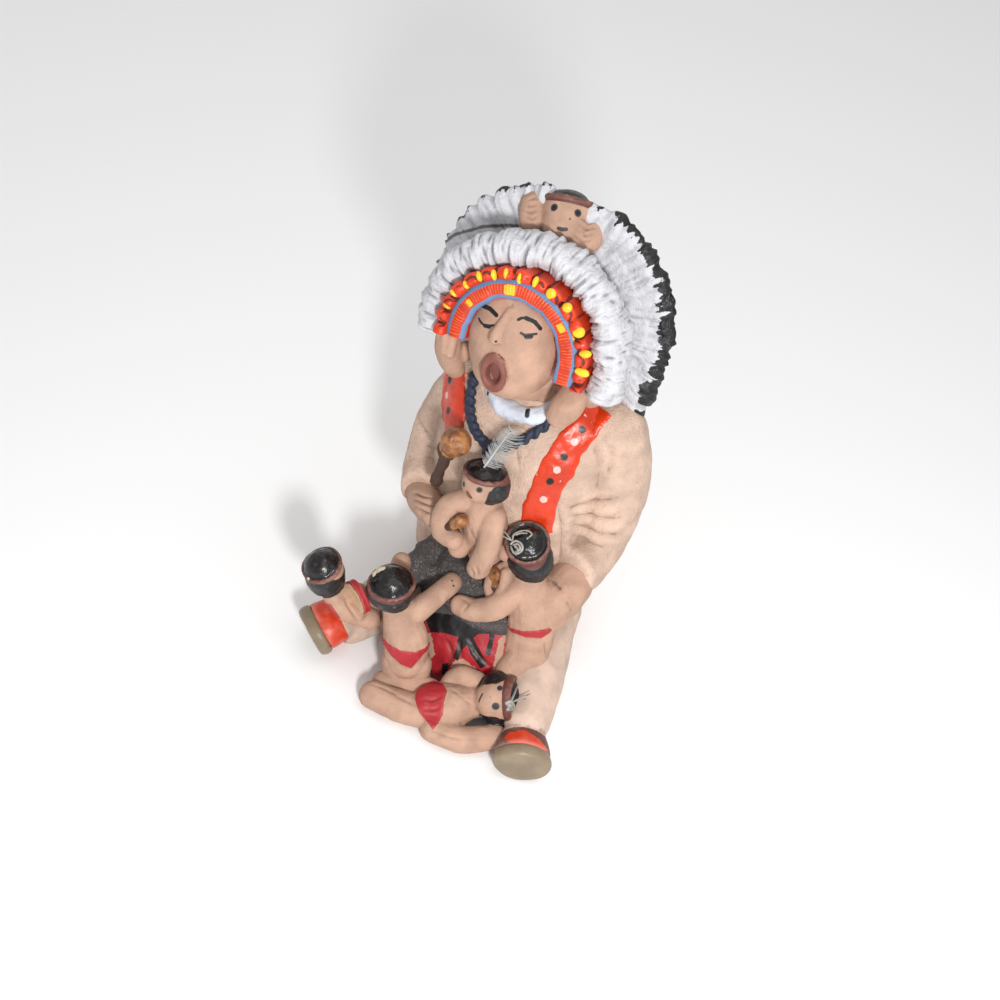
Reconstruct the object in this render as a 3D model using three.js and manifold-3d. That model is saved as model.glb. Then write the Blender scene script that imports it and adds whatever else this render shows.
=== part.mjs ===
// Seated pottery storyteller in a feather bonnet, with six children modelled onto it.
// Millimetres, +Z up, the figure looks along -Y. The origin is the middle of the seat's underside.
import * as THREE from "three";
import { mergeVertices } from "three/addons/utils/BufferGeometryUtils.js";
import Module from "manifold-3d";

// Driving sizes
const figureHeight = 185; // underside of the seat to the top of the fan
const fitGap = 0.3; // clearance between two pieces that touch
const soleThickness = 4.6;
const soleWidth = 22.5;
const soleHeight = 18.5;
const stripThickness = 1.3;
const stripWidth = 10.5;
const cordRadius = 1.9; // the necklace
const headbandThickness = 1.6;
const rosetteHeight = 2.2; // how far each rosette stands proud of the roll behind it
const bonnetTufts = 16; // rosettes round the face, and as many tufts in the roll behind them
const fanFeathers = 24;
const fanThickness = 8;
const fanRidge = 1.1; // how far each feather stands proud of the groove beside it
const drumRadius = 6.6;
const drumDepth = 5;
const gourdRadius = 5.6;
const gourdBudRadius = 4.1;
const stickRadius = 1.9;
const stickLength = 15; // from the bud of the gourd down into the hand
const smallGourdRadius = 2.3;
const smallStickRadius = 1.1;
const uprightGourdRadius = 2.6;
const featherLength = 18;
const featherWidth = 7.6;
const featherThickness = 0.9;
const quillRadius = 0.5;
const glueRadius = 1.5;

// The pose and the proportions are laid out in shares of the figure's height, 185 to the whole.
const share = figureHeight / 185;
const degrees = Math.PI / 180;
const place = ([x, y, z]) => new THREE.Vector3(x, y, z).multiplyScalar(share);

const wasm = await Module();
wasm.setup();

// A closed three.js geometry as a solid, and a solid as a geometry
function solid(geometry) {
  const bare = geometry.clone();
  bare.deleteAttribute("normal");
  bare.deleteAttribute("uv");
  const merged = mergeVertices(bare, 1e-4);
  const vertProperties = new Float32Array(merged.attributes.position.array);
  const triVerts = new Uint32Array(merged.index.array);
  return new wasm.Manifold(new wasm.Mesh({ numProp: 3, vertProperties, triVerts }));
}

function surface(body) {
  const { vertProperties, triVerts } = body.getMesh();
  const geometry = new THREE.BufferGeometry();
  geometry.setAttribute("position", new THREE.BufferAttribute(new Float32Array(vertProperties), 3));
  geometry.setIndex(new THREE.BufferAttribute(new Uint32Array(triVerts), 1));
  geometry.computeVertexNormals();
  return geometry;
}

const join = (bodies) => bodies.reduce((whole, next) => whole.add(next));

// Clay has no air sealed in it: the inner walls of closed pockets are left out
const filled = (body) => join(body.decompose().filter((shell) => shell.volume() > 0));

// A sphere whose rings are laid out anew: ring and column come in, a point goes out
function ringed(columns, rings, pointAt) {
  const geometry = new THREE.SphereGeometry(1, columns, rings);
  const position = geometry.attributes.position;
  for (let ring = 0; ring <= rings; ring += 1) {
    for (let column = 0; column <= columns; column += 1) {
      const point = pointAt(ring, column % columns);
      position.setXYZ(ring * (columns + 1) + column, point.x, point.y, point.z);
    }
  }
  return geometry;
}

// An ellipsoid of three half sizes, turned by Euler angles in degrees
function ball(centre, half, { turn = [0, 0, 0], columns = 12, rings = 8 } = {}) {
  const geometry = new THREE.SphereGeometry(1, columns, rings);
  geometry.rotateX(Math.PI / 2);
  geometry.scale(...half.map((size) => size * share));
  const [x, y, z] = turn.map((angle) => angle * degrees);
  geometry.applyMatrix4(new THREE.Matrix4().makeRotationFromEuler(new THREE.Euler(x, y, z)));
  geometry.translate(...place(centre).toArray());
  return solid(geometry);
}

// A round-ended limb through stations of x, y, z and radius
function limb(stations, { sides = 5, steps = 3, flat = 1, ripple = 0 } = {}) {
  const spine = new THREE.CatmullRomCurve3(stations.map(place));
  const chord = place(stations.at(-1)).sub(place(stations[0]));
  const axes = [new THREE.Vector3(1, 0, 0), new THREE.Vector3(0, 1, 0), new THREE.Vector3(0, 0, 1)];
  const across = axes.sort((a, b) => Math.abs(a.dot(chord)) - Math.abs(b.dot(chord)))[0];
  const rings = steps + 3;
  const girth = (t) => {
    const along = t * (stations.length - 1);
    const first = Math.min(Math.floor(along), stations.length - 2);
    const mix = THREE.MathUtils.smoothstep(along - first, 0, 1);
    return THREE.MathUtils.lerp(stations[first][3], stations[first + 1][3], mix) * share;
  };
  const geometry = ringed(sides, rings, (ring, column) => {
    const t = THREE.MathUtils.clamp((ring - 2) / (steps - 1), 0, 1);
    const capped = ring < 2 ? ring - 2 : Math.max(0, ring - rings + 2);
    const width = [1, 0.8, 0][Math.abs(capped)];
    const overhang = [0, 0.6, 1][Math.abs(capped)] * Math.sign(capped);
    const forward = spine.getTangent(t);
    const side = new THREE.Vector3().crossVectors(forward, across).normalize();
    const rise = new THREE.Vector3().crossVectors(forward, side);
    const angle = (column / sides) * 2 * Math.PI;
    const radius = girth(t) * (1 - ripple * (ring % 2));
    return spine
      .getPoint(t)
      .addScaledVector(forward, girth(t) * overhang)
      .addScaledVector(side, -Math.cos(angle) * radius * width)
      .addScaledVector(rise, Math.sin(angle) * radius * width * flat);
  });
  return solid(geometry);
}

// A body built up of level sections: height, middle x and y, half width, half depth
function stack(sections, { sides = 16 } = {}) {
  const rings = sections.length + 1;
  const geometry = ringed(sides, rings, (ring, column) => {
    const level = THREE.MathUtils.clamp(ring - 1, 0, sections.length - 1);
    const [z, x, y, halfWidth, halfDepth] = sections[level];
    const open = ring === 0 || ring === rings ? 0 : 1;
    const angle = (column / sides) * 2 * Math.PI;
    const reach = (value) => Math.sign(value) * Math.abs(value) ** 0.85;
    return place([
      x - reach(Math.cos(angle)) * halfWidth * open,
      y + reach(Math.sin(angle)) * halfDepth * open,
      z,
    ]);
  });
  return solid(geometry);
}

// Moves a solid made round the origin to its place: pitched back, leant and turned, in degrees
function settle(body, centre, { pitch = 0, lean = 0, yaw = 0 } = {}) {
  const turned = new THREE.Euler(-pitch * degrees, lean * degrees, yaw * degrees, "ZYX");
  const matrix = new THREE.Matrix4().makeRotationFromEuler(turned);
  matrix.setPosition(place(centre));
  return body.transform(matrix.elements);
}

// Where the head, the roll and the fan of the bonnet sit, and how far they tip back and lean
const headPose = { pitch: 18, lean: -6 };
const headCentre = [-10.5, -11.5, 138.5];
const fanPose = { pitch: 9, lean: -4 };
const fanCentre = [-7, 11, 138];
const faceHalf = [18, 19, 24];
const archCentre = [2.5, -1]; // the arches' centre in the head's own frame, aside and up
const bandInner = 17.5;
const bandOuter = 24.8;
const rosetteOuter = 29.5;
const rollOuter = 38.5;
const fanRadius = 48;

// The seat, the belly and the chest, from the underside up
const torsoSections = [
  [0, 0, 2, 35, 22],
  [4, 0, 2, 38, 24],
  [22, 0, 1, 39, 26],
  [44, 0, -2, 36, 30],
  [66, 0, -3, 35, 29],
  [88, -1, -2, 34, 25],
  [102, -2, 0, 33, 20],
  [112, -3, 1, 27, 15],
  [119, -4, 0, 14, 10],
];

// A point on the front of the torso at a height and an x, for what is laid on the chest
function chest(x, z) {
  const above = torsoSections.findIndex((section) => section[0] >= z);
  const [low, high] = [torsoSections[above - 1], torsoSections[above]];
  const mix = (z - low[0]) / (high[0] - low[0]);
  const section = low.map((value, i) => THREE.MathUtils.lerp(value, high[i], mix));
  const [, middleX, middleY, halfWidth, halfDepth] = section;
  const aside = Math.min(0.97, Math.abs(x - middleX) / halfWidth) ** (1 / 0.85);
  return [x, middleY - halfDepth * Math.sqrt(1 - aside * aside) ** 0.85, z];
}

function torso() {
  return [stack(torsoSections), limb([[-4, 0, 108, 11], [-6, -6, 124, 10.5]], { sides: 10, steps: 2 })];
}

function sleeves() {
  const left = [
    [31, 1, 103, 13],
    [37, 1, 84, 13.5],
    [38, -3, 56, 13.5],
    [36, -10, 42, 14],
    [33, -27, 50, 12.2],
  ];
  const right = [
    [-29, 1, 98, 11.5],
    [-35, -2, 80, 11.5],
    [-37, -8, 62, 12],
    [-35, -15, 51, 12],
    [-30, -27, 56, 10.5],
  ];
  return [left, right].map((stations) => limb(stations, { sides: 9, steps: 8, ripple: 0.05 }));
}

// A hand as a palm and a row of fingers that run on from it
function hand(palm, tip, spread, { fingers = 4, width = 1.9 } = {}) {
  const parts = [limb([[...palm, 5.4], [...tip, 4.2]], { steps: 2, flat: 0.75 })];
  for (let finger = 0; finger < fingers; finger += 1) {
    const offset = (finger - (fingers - 1) / 2) / fingers;
    const root = tip.map((value, i) => value * 0.7 + palm[i] * 0.3 + spread.across[i] * offset);
    const end = tip.map((value, i) => value + spread.across[i] * offset * 0.9 + spread.reach[i]);
    parts.push(limb([[...root, width], [...end, width * 0.85]], { sides: 5, steps: 2 }));
  }
  return parts;
}

function hands() {
  const right = { across: [-3, 2, 13], reach: [6, -3, 0] };
  const left = { across: [3, 1, 12], reach: [-3, -4, -1] };
  return [
    ...hand([-29, -32, 59], [-22, -40, 65], right),
    ...hand([33, -34, 50], [29, -42, 50], left, { fingers: 3, width: 2.3 }),
  ];
}

// Legs stretched along the ground, and feet that stand on their heels with the soles outward
const legRight = {
  hip: [-15, -24, 17],
  ankle: [-39, -64, 10],
  heading: -38,
  tilt: 22,
  sole: [-46.5, -74.5, 11.2],
};
const legLeft = {
  hip: [27, -20, 17],
  ankle: [45, -70, 11],
  heading: 20,
  tilt: 0,
  sole: [51, -86, 9.3],
};

function leg({ hip, ankle, heading, tilt, sole }) {
  const middle = hip.map((value, i) => (value + ankle[i]) / 2);
  const shin = limb([[...hip, 15], [...middle, 12.5], [...ankle, 9.4]], { sides: 9, steps: 4 });
  const rim = soleWidth / 2;
  const outline = [
    [0, -soleThickness],
    [0.9, -soleThickness],
    [1, -soleThickness * 0.6],
    [1, 0],
    [0.93, 0.4],
  ];
  const moccasin = [[0.88, 6 * share], [0.62, 13 * share], [0, 17 * share]];
  const profile = [...outline, ...moccasin].map(([reach, along]) => new THREE.Vector2(reach * rim, along));
  const foot = new THREE.LatheGeometry(profile, 14);
  foot.scale(1, 1, soleHeight / soleWidth);
  const turn = new THREE.Euler(tilt * degrees, 0, heading * degrees, "ZYX");
  foot.applyMatrix4(new THREE.Matrix4().makeRotationFromEuler(turn).setPosition(place(sole)));
  return [shin, solid(foot)];
}

// The blanket over both thighs, and the apron that hangs from it between the legs
function blanket() {
  const lap = stack(
    [
      [4, 2, -28, 28, 14],
      [24, 3, -30, 27, 20],
      [35, 4, -33, 22, 18],
      [41, 4, -33, 16, 12],
    ],
    { sides: 12 },
  );
  const apron = stack(
    [
      [0, 9, -56, 20, 10],
      [14, 8, -53, 20, 9],
      [28, 6, -46, 20, 9],
    ],
    { sides: 9 },
  );
  return [lap, apron];
}

// The neckerchief, the twisted necklace with its drop, and the two strips down the front
function neckwear() {
  const dropAt = [-8, 95];
  const rope = [[-24, 113], [-21, 105], [-15, 98], dropAt, [-1, 97], [7, 104], [13, 112]];
  const twists = rope.map(([x, z]) => {
    const [, y] = chest(x, z);
    return [x, y - 0.8, z, cordRadius / share];
  });
  const [, dropY] = chest(...dropAt);
  return [
    limb(twists, { sides: 5, steps: 15, ripple: 0.2 }),
    limb([[dropAt[0], dropY - 1, 96, 2.6], [dropAt[0] - 0.5, dropY - 2, 91, 2.2]], { sides: 5, steps: 2 }),
    ball([-4, -7, 114], [14, 11, 4.5], { turn: [-24, 0, 0], rings: 4 }),
  ];
}

function strip(path) {
  const blocks = new THREE.BoxGeometry(1, 1, 1, 2, 1, path.length);
  const spine = new THREE.CatmullRomCurve3(path.map(([x, z]) => new THREE.Vector3(x, 0, z)));
  const position = blocks.attributes.position;
  for (let i = 0; i < position.count; i += 1) {
    const along = spine.getPoint(position.getZ(i) + 0.5);
    const across = (position.getX(i) * stripWidth) / share;
    const [x, y, z] = chest(along.x + across, along.z);
    const proud = position.getY(i) < 0 ? -stripThickness : 3;
    position.setXYZ(i, x * share, y * share + proud, z * share);
  }
  return solid(blocks);
}

function strips() {
  return [
    strip([[-24, 84], [-26, 94], [-27, 103], [-26, 110]]),
    strip([[15, 62], [16, 74], [18, 86], [21, 97], [22, 105], [20, 112]]),
  ];
}

// The head with its open mouth and wedge nose, in its own frame
function face() {
  const front = -faceHalf[1];
  const skull = ball([0, 0, 0], faceHalf, { columns: 16, rings: 10 });
  const ring = new THREE.TorusGeometry(4 * share, 1.9 * share, 5, 12);
  ring.scale(1, 1.6, 1).rotateX(Math.PI / 2);
  const lips = settle(solid(ring), [-0.6, front + 0.4, -9], { pitch: -8 });
  const throat = ball([-0.6, front - 1, -9], [2.8, 4, 5], { columns: 8, rings: 6 });
  const ridge = [
    [-0.4, front + 2.4, 12, 1],
    [-0.8, front - 0.6, 7, 1.9],
    [-1.2, front - 1.2, 3.6, 2.6],
  ];
  return join([skull, lips, limb(ridge)]).subtract(throat);
}

// The beaded band round the face, the row of rosettes and the fluffy roll, as one arch of one section.
// Each row of the section is a reach from the arches' centre, a depth, and how far it ripples with the tufts.
function bonnetFront() {
  const bead = headbandThickness / share;
  const proud = rosetteHeight / share;
  const section = [
    [bandInner - 4, 4, 0],
    [bandInner, -9.5, 0],
    [bandInner + 0.6, -10 - bead, 0],
    [bandOuter, -8.5 - bead, 0],
    [rosetteOuter - 1.5, -6 - proud, 1],
    [rosetteOuter, -5, 0.4],
    [rollOuter - 4.5, -6.5, 1],
    [rollOuter, -1.5, 1],
    [rollOuter - 1, 5, 0.5],
    [bandOuter, 8, 0],
  ];
  const steps = bonnetTufts * 2 + 1;
  const geometry = ringed(section.length, steps + 1, (ring, column) => {
    const bound = THREE.MathUtils.clamp(ring - 1, 0, steps - 1);
    const open = ring === 0 || ring > steps ? 0 : 1;
    const [reach, depth, ripple] = section[column];
    const spread = open ? THREE.MathUtils.smoothstep(reach, bandOuter, rollOuter) : 0.5;
    const end = 15 + 18 * spread;
    const angle = THREE.MathUtils.lerp(180 + end, -end, bound / (steps - 1)) * degrees;
    const dip = ripple * 1.3 * (bound % 2 === 0 ? 1 : 0);
    const radius = THREE.MathUtils.lerp(rosetteOuter - 1, reach - dip * 0.5, open);
    const y = THREE.MathUtils.lerp(0, depth + dip, open);
    return place([Math.cos(angle) * radius + archCentre[0], y, Math.sin(angle) * radius + archCentre[1]]);
  });
  return solid(geometry);
}

// The fan of feathers behind the head: ridged in front, scalloped at the rim, wider over the shoulders
function fan() {
  const columns = fanFeathers * 2 + 4;
  const profile = [[0, -1], [0.55, -1], [0.8, -0.7], [1, 0], [0.8, 0.7], [0, 1]];
  const geometry = ringed(columns, profile.length - 1, (ring, column) => {
    const visible = fanFeathers * 2;
    const hidden = (column - visible) / (columns - visible);
    const turn = column <= visible ? -38 + (column / visible) * 256 : 218 + hidden * 104;
    const low = Math.min(Math.abs(turn + 38), Math.abs(turn - 218)) / 30;
    const flare = 1 + 0.14 * Math.max(0, 1 - low) * (column <= visible ? 1 : 0);
    const [reach, depth] = profile[ring];
    const groove = column % 2;
    const radius = fanRadius * share * reach * flare * (1 - 0.035 * groove * (reach > 0.9 ? 1 : 0));
    const ridge = reach > 0.5 && depth <= 0 ? groove * fanRidge : 0;
    const y = (depth * fanThickness) / 2 + ridge;
    return new THREE.Vector3(Math.cos(turn * degrees) * radius, y, Math.sin(turn * degrees) * radius);
  });
  return settle(solid(geometry), fanCentre, fanPose);
}

// The ear lobes, shaped like closed hands: the right one with finger grooves, the left one smooth
function earLobes() {
  const right = limb([[-35, -13, 125, 4.8], [-33.5, -15.5, 116, 5.2], [-31, -15, 109, 4.2]], { sides: 6 });
  const knuckles = [0, 1].map((i) => {
    const x = -36 + i * 3.6;
    return limb([[x, -16 - i, 126, 2], [x + 0.5, -18 - i, 118, 2]], { steps: 2 });
  });
  const left = limb([[15, -15, 127.5, 6.2], [14, -17.5, 121, 6.6], [13, -16, 114.5, 5]], { sides: 6 });
  const leftEar = ball([21, -12, 127], [4.5, 4, 5.5], { columns: 7, rings: 5 });
  const rightEar = ball([-27.5, -13, 120], [3, 3.4, 5], { columns: 7, rings: 5 });
  return [right, ...knuckles, left, leftEar, rightEar];
}

// The sides and steps of a child's body
const trunk = { sides: 7, steps: 4 };

// A child's head turned on the axis of its crown: hair over a raised band, a face below it in front
function childHead(centre, radius, { face: facing, crown }) {
  const up = new THREE.Vector3(...crown).normalize();
  const side = new THREE.Vector3().crossVectors(up, new THREE.Vector3(...facing)).normalize();
  const front = new THREE.Vector3().crossVectors(side, up);
  const hairCap = [[0, 1.08], [0.62, 0.9], [0.93, 0.56]];
  const band = [[1.1, 0.4], [0.98, 0.2]];
  const belowBand = [[1, -0.15], [0.72, -0.7], [0, -0.95]];
  const profile = [...hairCap, ...band, ...belowBand];
  const columns = 9;
  const middle = place(centre);
  const geometry = ringed(columns, profile.length - 1, (ring, column) => {
    const [reach, height] = profile[ring];
    const angle = (column / columns) * 2 * Math.PI;
    const hair = height < 0.3 && Math.sin(angle) > -0.4 ? 1.1 : 1;
    return middle
      .clone()
      .addScaledVector(up, height * radius * share)
      .addScaledVector(side, Math.cos(angle) * reach * radius * hair * share)
      .addScaledVector(front, -Math.sin(angle) * reach * radius * hair * share);
  });
  return [solid(geometry)];
}

// The child on the lap, sitting against the belly, one arm round to its chest and one leg hanging down
function lapChild() {
  return [
    ...childHead([-2.5, -40, 90], 8, { face: [-0.75, -0.75, 0.1], crown: [0.12, -0.05, 1] }),
    limb([[3, -35, 50, 8.5], [0, -37, 63, 9.6], [-2, -38, 76, 7.5], [-2, -39, 84, 4.6]], trunk),
    limb([[-9, -39, 77, 5], [-14, -42, 68, 5], [-12, -47, 60, 4.7], [-5, -49, 61, 3.8]]),
    limb([[4, -41, 76, 4.6], [6, -46, 66, 4.6], [5.5, -48, 57, 4.6], [4.5, -48, 51, 4.4]]),
    limb([[-7, -38, 56, 6], [-6, -45, 52, 5]], { steps: 3 }),
  ];
}

// The child on the left leg, leaning on the blanket with one arm
function kneeChild() {
  return [
    ...childHead([19.5, -39, 62], 8.6, { face: [-0.95, -0.2, 0.1], crown: [-0.1, -0.32, 1] }),
    limb([[31, -47, 22, 9.5], [30, -45, 34, 9.5], [25, -41, 47, 8], [21, -39, 56, 5]], trunk),
    limb([[20, -44, 50, 5], [15, -50, 40, 4.8], [8, -52, 36, 4.4], [3, -52, 35, 4.2]]),
    limb([[33, -50, 24, 8], [30, -57, 17, 6.4]], { steps: 3 }),
    limb([[26, -40, 50, 4.5], [33, -38, 44, 5]], { steps: 2 }),
    limb([[13, -40, 55, 2.6], [11, -43, 48, 3], [13, -45, 41, 2.6]], { sides: 6, steps: 3 }),
  ];
}

// The child that stands between the legs, back to the viewer, both hands on the blanket
function standingChild() {
  return [
    ...childHead([-22.5, -65, 43], 8.6, { face: [0.25, 0.95, 0], crown: [-0.1, -0.3, 1] }),
    limb([[-9, -72, 15, 8.2], [-12, -70, 25, 8.6], [-19, -67, 36, 5.4]], trunk),
    limb([[-12, -67, 31, 5], [-7, -57, 37, 4.4], [-5, -47, 38, 3.8]]),
    limb([[-20, -64, 31, 4.4], [-24, -54, 32, 4]], { steps: 3 }),
    limb([[-12, -74, 14, 5], [-8, -78, 3, 4]], { steps: 3 }),
    limb([[-4, -70, 13, 5], [-3, -73, 4, 4]], { steps: 3 }),
  ];
}

// The child on the right shin, back to the viewer, with the drum in front of it
function shinChild() {
  const drum = new THREE.CylinderGeometry(drumRadius, drumRadius, drumDepth, 12);
  drum.rotateZ(Math.PI / 2);
  const drumBody = settle(solid(drum), [-33.5, -70, 34], { pitch: -8, lean: -20, yaw: -8 });
  return [
    ...childHead([-49, -73.5, 46], 8.7, { face: [0.95, 0.25, 0], crown: [-0.12, -0.28, 1] }),
    limb([[-34, -69, 19, 6.5], [-40, -73, 24, 7], [-45, -74, 36, 4.8]], trunk),
    limb([[-41, -70, 32, 3.6], [-36, -64, 30, 3.4]], { steps: 3 }),
    limb([[-42, -77, 31, 3.8], [-34, -77, 22, 4.4], [-27, -72, 15, 4.4]]),
    limb([[-34, -62, 18, 5], [-24, -62, 12, 4.5]], { steps: 3 }),
    drumBody,
  ];
}

// The child that lies on its back on the ground, head by the left foot
function groundChild() {
  return [
    ...childHead([29.5, -70, 13.5], 9.4, { face: [-0.3, -0.25, 1], crown: [1, 0.4, 0.15] }),
    limb([[23, -73, 10, 7.6], [15, -79, 9, 9], [8, -82, 8, 7.6]], trunk),
    limb([[5, -86, 6.5, 6], [-5, -88, 5.5, 5.6], [-14, -88.5, 5.4, 5.2]]),
    limb([[4, -76, 7, 5], [-8, -77, 5.5, 4.6]], { steps: 3 }),
    limb([[19, -66, 12, 4.4], [12.5, -67, 12, 4.2], [11, -71, 10, 3.6]]),
    limb([[36, -80, 5.5, 5], [25, -89, 5, 5], [13, -90, 5, 5]]),
  ];
}

// The child that looks over the top of the fan, holding on with both hands
function topChild() {
  return [
    ...childHead([-13.5, 17, 173], 9.6, { face: [0.05, -0.9, 0.45], crown: [-0.08, 0.45, 0.9] }),
    limb([[-13, 22, 166, 6], [-12, 21, 150, 7.5], [-11, 20, 136, 7], [-11, 22, 122, 5]], trunk),
    limb([[-19, 22, 166, 4], [-25, 17, 171, 4.4], [-23.5, 9, 169, 4]]),
    limb([[-7, 22, 166, 4], [-1, 15, 171, 4.6], [-0.5, 7, 166, 4.2]]),
  ];
}

// Loose pieces. Each takes how much it grows, so that its seat in the clay is cut with the fit's gap.
const gourdAt = [-17.6, -37.5, 102];
const budLean = new THREE.Vector3(-0.39, 0, -0.92); // from the gourd to its bud
const stickLean = new THREE.Vector3(-0.16, 0.03, -0.99); // from the bud down the stick
const inShares = (point) => point.clone().divideScalar(share).toArray();

function gourdRattle(grow) {
  const budMiddle = place(gourdAt).addScaledVector(budLean, gourdRadius);
  const stickFoot = budMiddle.clone().addScaledVector(stickLean, gourdBudRadius + stickLength);
  const stations = [budMiddle, stickFoot].map((point) => [...inShares(point), (stickRadius + grow) / share]);
  const round = (gourdRadius + grow) / share;
  const bud = (gourdBudRadius + grow) / share;
  return join([
    ball(gourdAt, [round, round, round], { columns: 10, rings: 7 }),
    ball(inShares(budMiddle), [bud, bud, bud], { columns: 7, rings: 5 }),
    limb(stations, { steps: 2 }),
  ]);
}

function smallRattle(grow, foot, head, headRadius) {
  const knob = (headRadius + grow) / share;
  const stick = (smallStickRadius + grow) / share;
  return join([
    ball(head, [knob, knob, knob], { columns: 8, rings: 6 }),
    limb([[...foot, stick], [...head, stick]], { sides: 6, steps: 2 }),
  ]);
}

const lapRattle = (grow) => smallRattle(grow, [-10.5, -48, 69], [-6, -49.5, 73], smallGourdRadius);
const kneeRattle = (grow) => smallRattle(grow, [11.6, -47.6, 43.5], [9.6, -46.4, 49.6], uprightGourdRadius);

// A flat feather on its quill, leaning from its root along a direction
function feather(grow, root, direction) {
  const start = place(root);
  const aim = new THREE.Vector3(...direction).normalize();
  const outline = [0.1, 0.32, 0.48, 0.5, 0.36, 0.06];
  const geometry = ringed(4, outline.length + 1, (ring, column) => {
    const bound = THREE.MathUtils.clamp(ring - 1, 0, outline.length - 1);
    const open = ring === 0 || ring > outline.length ? 0 : 1;
    const along = featherLength * (0.18 + (0.82 * bound) / (outline.length - 1));
    const angle = (column / 4) * 2 * Math.PI;
    return new THREE.Vector3(
      -Math.cos(angle) * open * (featherWidth * outline[bound] + grow),
      Math.sin(angle) * open * (featherThickness / 2 + grow),
      along,
    );
  });
  const facing = new THREE.Quaternion().setFromUnitVectors(new THREE.Vector3(0, 0, 1), aim);
  geometry.applyQuaternion(facing);
  geometry.translate(...start.toArray());
  const quill = [root, inShares(start.clone().addScaledVector(aim, featherLength * 0.5))];
  const stations = quill.map((point) => [...point, (quillRadius + grow) / share]);
  return solid(geometry).add(limb(stations, { sides: 4, steps: 2 }));
}

// What is left of a feather: a drop of glue with broken quills in it
function quillStubs(grow, root, directions) {
  const drop = (glueRadius + grow) / share;
  const parts = [ball(root, [drop, drop, drop], { columns: 6, rings: 4 })];
  for (const [x, y, z] of directions) {
    const tip = [root[0] + x, root[1] + y, root[2] + z];
    const stations = [root, tip].map((point) => [...point, (quillRadius + grow) / share]);
    parts.push(limb(stations, { sides: 4, steps: 2 }));
  }
  return join(parts);
}

const lapFeather = (grow) => feather(grow, [-3.6, -42.4, 97.4], [0.26, 0.12, 0.95]);
const kneeQuills = (grow) => quillStubs(grow, [15.2, -44.6, 68.6], [[-3, 2.5, 3.6], [3.4, 1, 2.6]]);
const groundQuills = (grow) => quillStubs(grow, [36.4, -67.4, 18.6], [[2.5, 5, 2.6], [6.5, 2.4, 1]]);

// One body of clay, with a seat cut for each loose piece
function storytellerGroup() {
  const head = face().add(bonnetFront());
  const clay = join([
    ...torso(),
    ...sleeves(),
    ...hands(),
    ...leg(legLeft),
    ...leg(legRight),
    ...blanket(),
    ...neckwear(),
    ...strips(),
    settle(head, headCentre, headPose),
    fan(),
    ...earLobes(),
    ...lapChild(),
    ...kneeChild(),
    ...standingChild(),
    ...shinChild(),
    ...groundChild(),
    ...topChild(),
  ]);
  const seats = [gourdRattle, lapRattle, kneeRattle, lapFeather, kneeQuills, groundQuills];
  const seated = seats.reduce((body, piece) => body.subtract(piece(fitGap)), clay);
  const ground = new THREE.BoxGeometry(400 * share, 400 * share, 100 * share);
  ground.translate(0, 0, -50 * share);
  return filled(seated.subtract(solid(ground)));
}

const finishes = {
  clay: { color: 0xd6b594, roughness: 0.85, metalness: 0 },
  gourd: { color: 0xb07a3c, roughness: 0.45, metalness: 0 },
  feather: { color: 0xd9dbe0, roughness: 0.8, metalness: 0 },
};

const group = new THREE.Group();

function add(name, body, finish) {
  const mesh = new THREE.Mesh(surface(body), new THREE.MeshStandardMaterial(finishes[finish]));
  mesh.name = name;
  group.add(mesh);
}

add("storyteller_group", storytellerGroup(), "clay");
add("gourd_rattle", gourdRattle(0), "gourd");
add("lap_child_rattle", lapRattle(0), "gourd");
add("knee_child_rattle", kneeRattle(0), "gourd");
add("lap_child_feather", lapFeather(0), "feather");
add("knee_child_quills", kneeQuills(0), "feather");
add("ground_child_quills", groundQuills(0), "feather");

export default group;
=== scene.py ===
import itertools
import math

import bmesh
import bpy
import numpy as np
from mathutils import Euler, Matrix, Vector
from mathutils.bvhtree import BVHTree


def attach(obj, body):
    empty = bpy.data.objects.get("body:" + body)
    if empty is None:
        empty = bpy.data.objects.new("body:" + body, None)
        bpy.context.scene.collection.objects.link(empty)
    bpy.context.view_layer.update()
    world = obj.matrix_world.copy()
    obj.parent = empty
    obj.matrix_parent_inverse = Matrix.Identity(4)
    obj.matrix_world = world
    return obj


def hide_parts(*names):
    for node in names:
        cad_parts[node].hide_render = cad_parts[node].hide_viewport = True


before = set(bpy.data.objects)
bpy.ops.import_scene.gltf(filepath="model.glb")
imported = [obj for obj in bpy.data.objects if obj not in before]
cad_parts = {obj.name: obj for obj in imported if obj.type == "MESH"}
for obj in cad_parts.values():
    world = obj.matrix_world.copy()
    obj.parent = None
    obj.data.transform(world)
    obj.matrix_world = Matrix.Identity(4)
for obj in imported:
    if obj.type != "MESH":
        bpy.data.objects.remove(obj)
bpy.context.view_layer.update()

# A seated pottery storyteller with six children. Shapes are worked out in millimetres and finished in metres.
mm = 0.001


# The camera, where the photograph was taken from
view = {
    "azimuth": 16,
    "elevation": 46,
    "roll": 13,
    "distance": 520,
    "focal": 1400,  # the lens in pixels of the picture
    "picture": 1000,
    "aim": (0, -21, 103),
    "aimSeenAt": (518, 433),  # the pixel that shows the aim
}


def axesAlong(side, front, up):
    # a turn that lays x, y and z along three directions
    return Matrix((side, front, up)).transposed().to_4x4()


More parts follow.
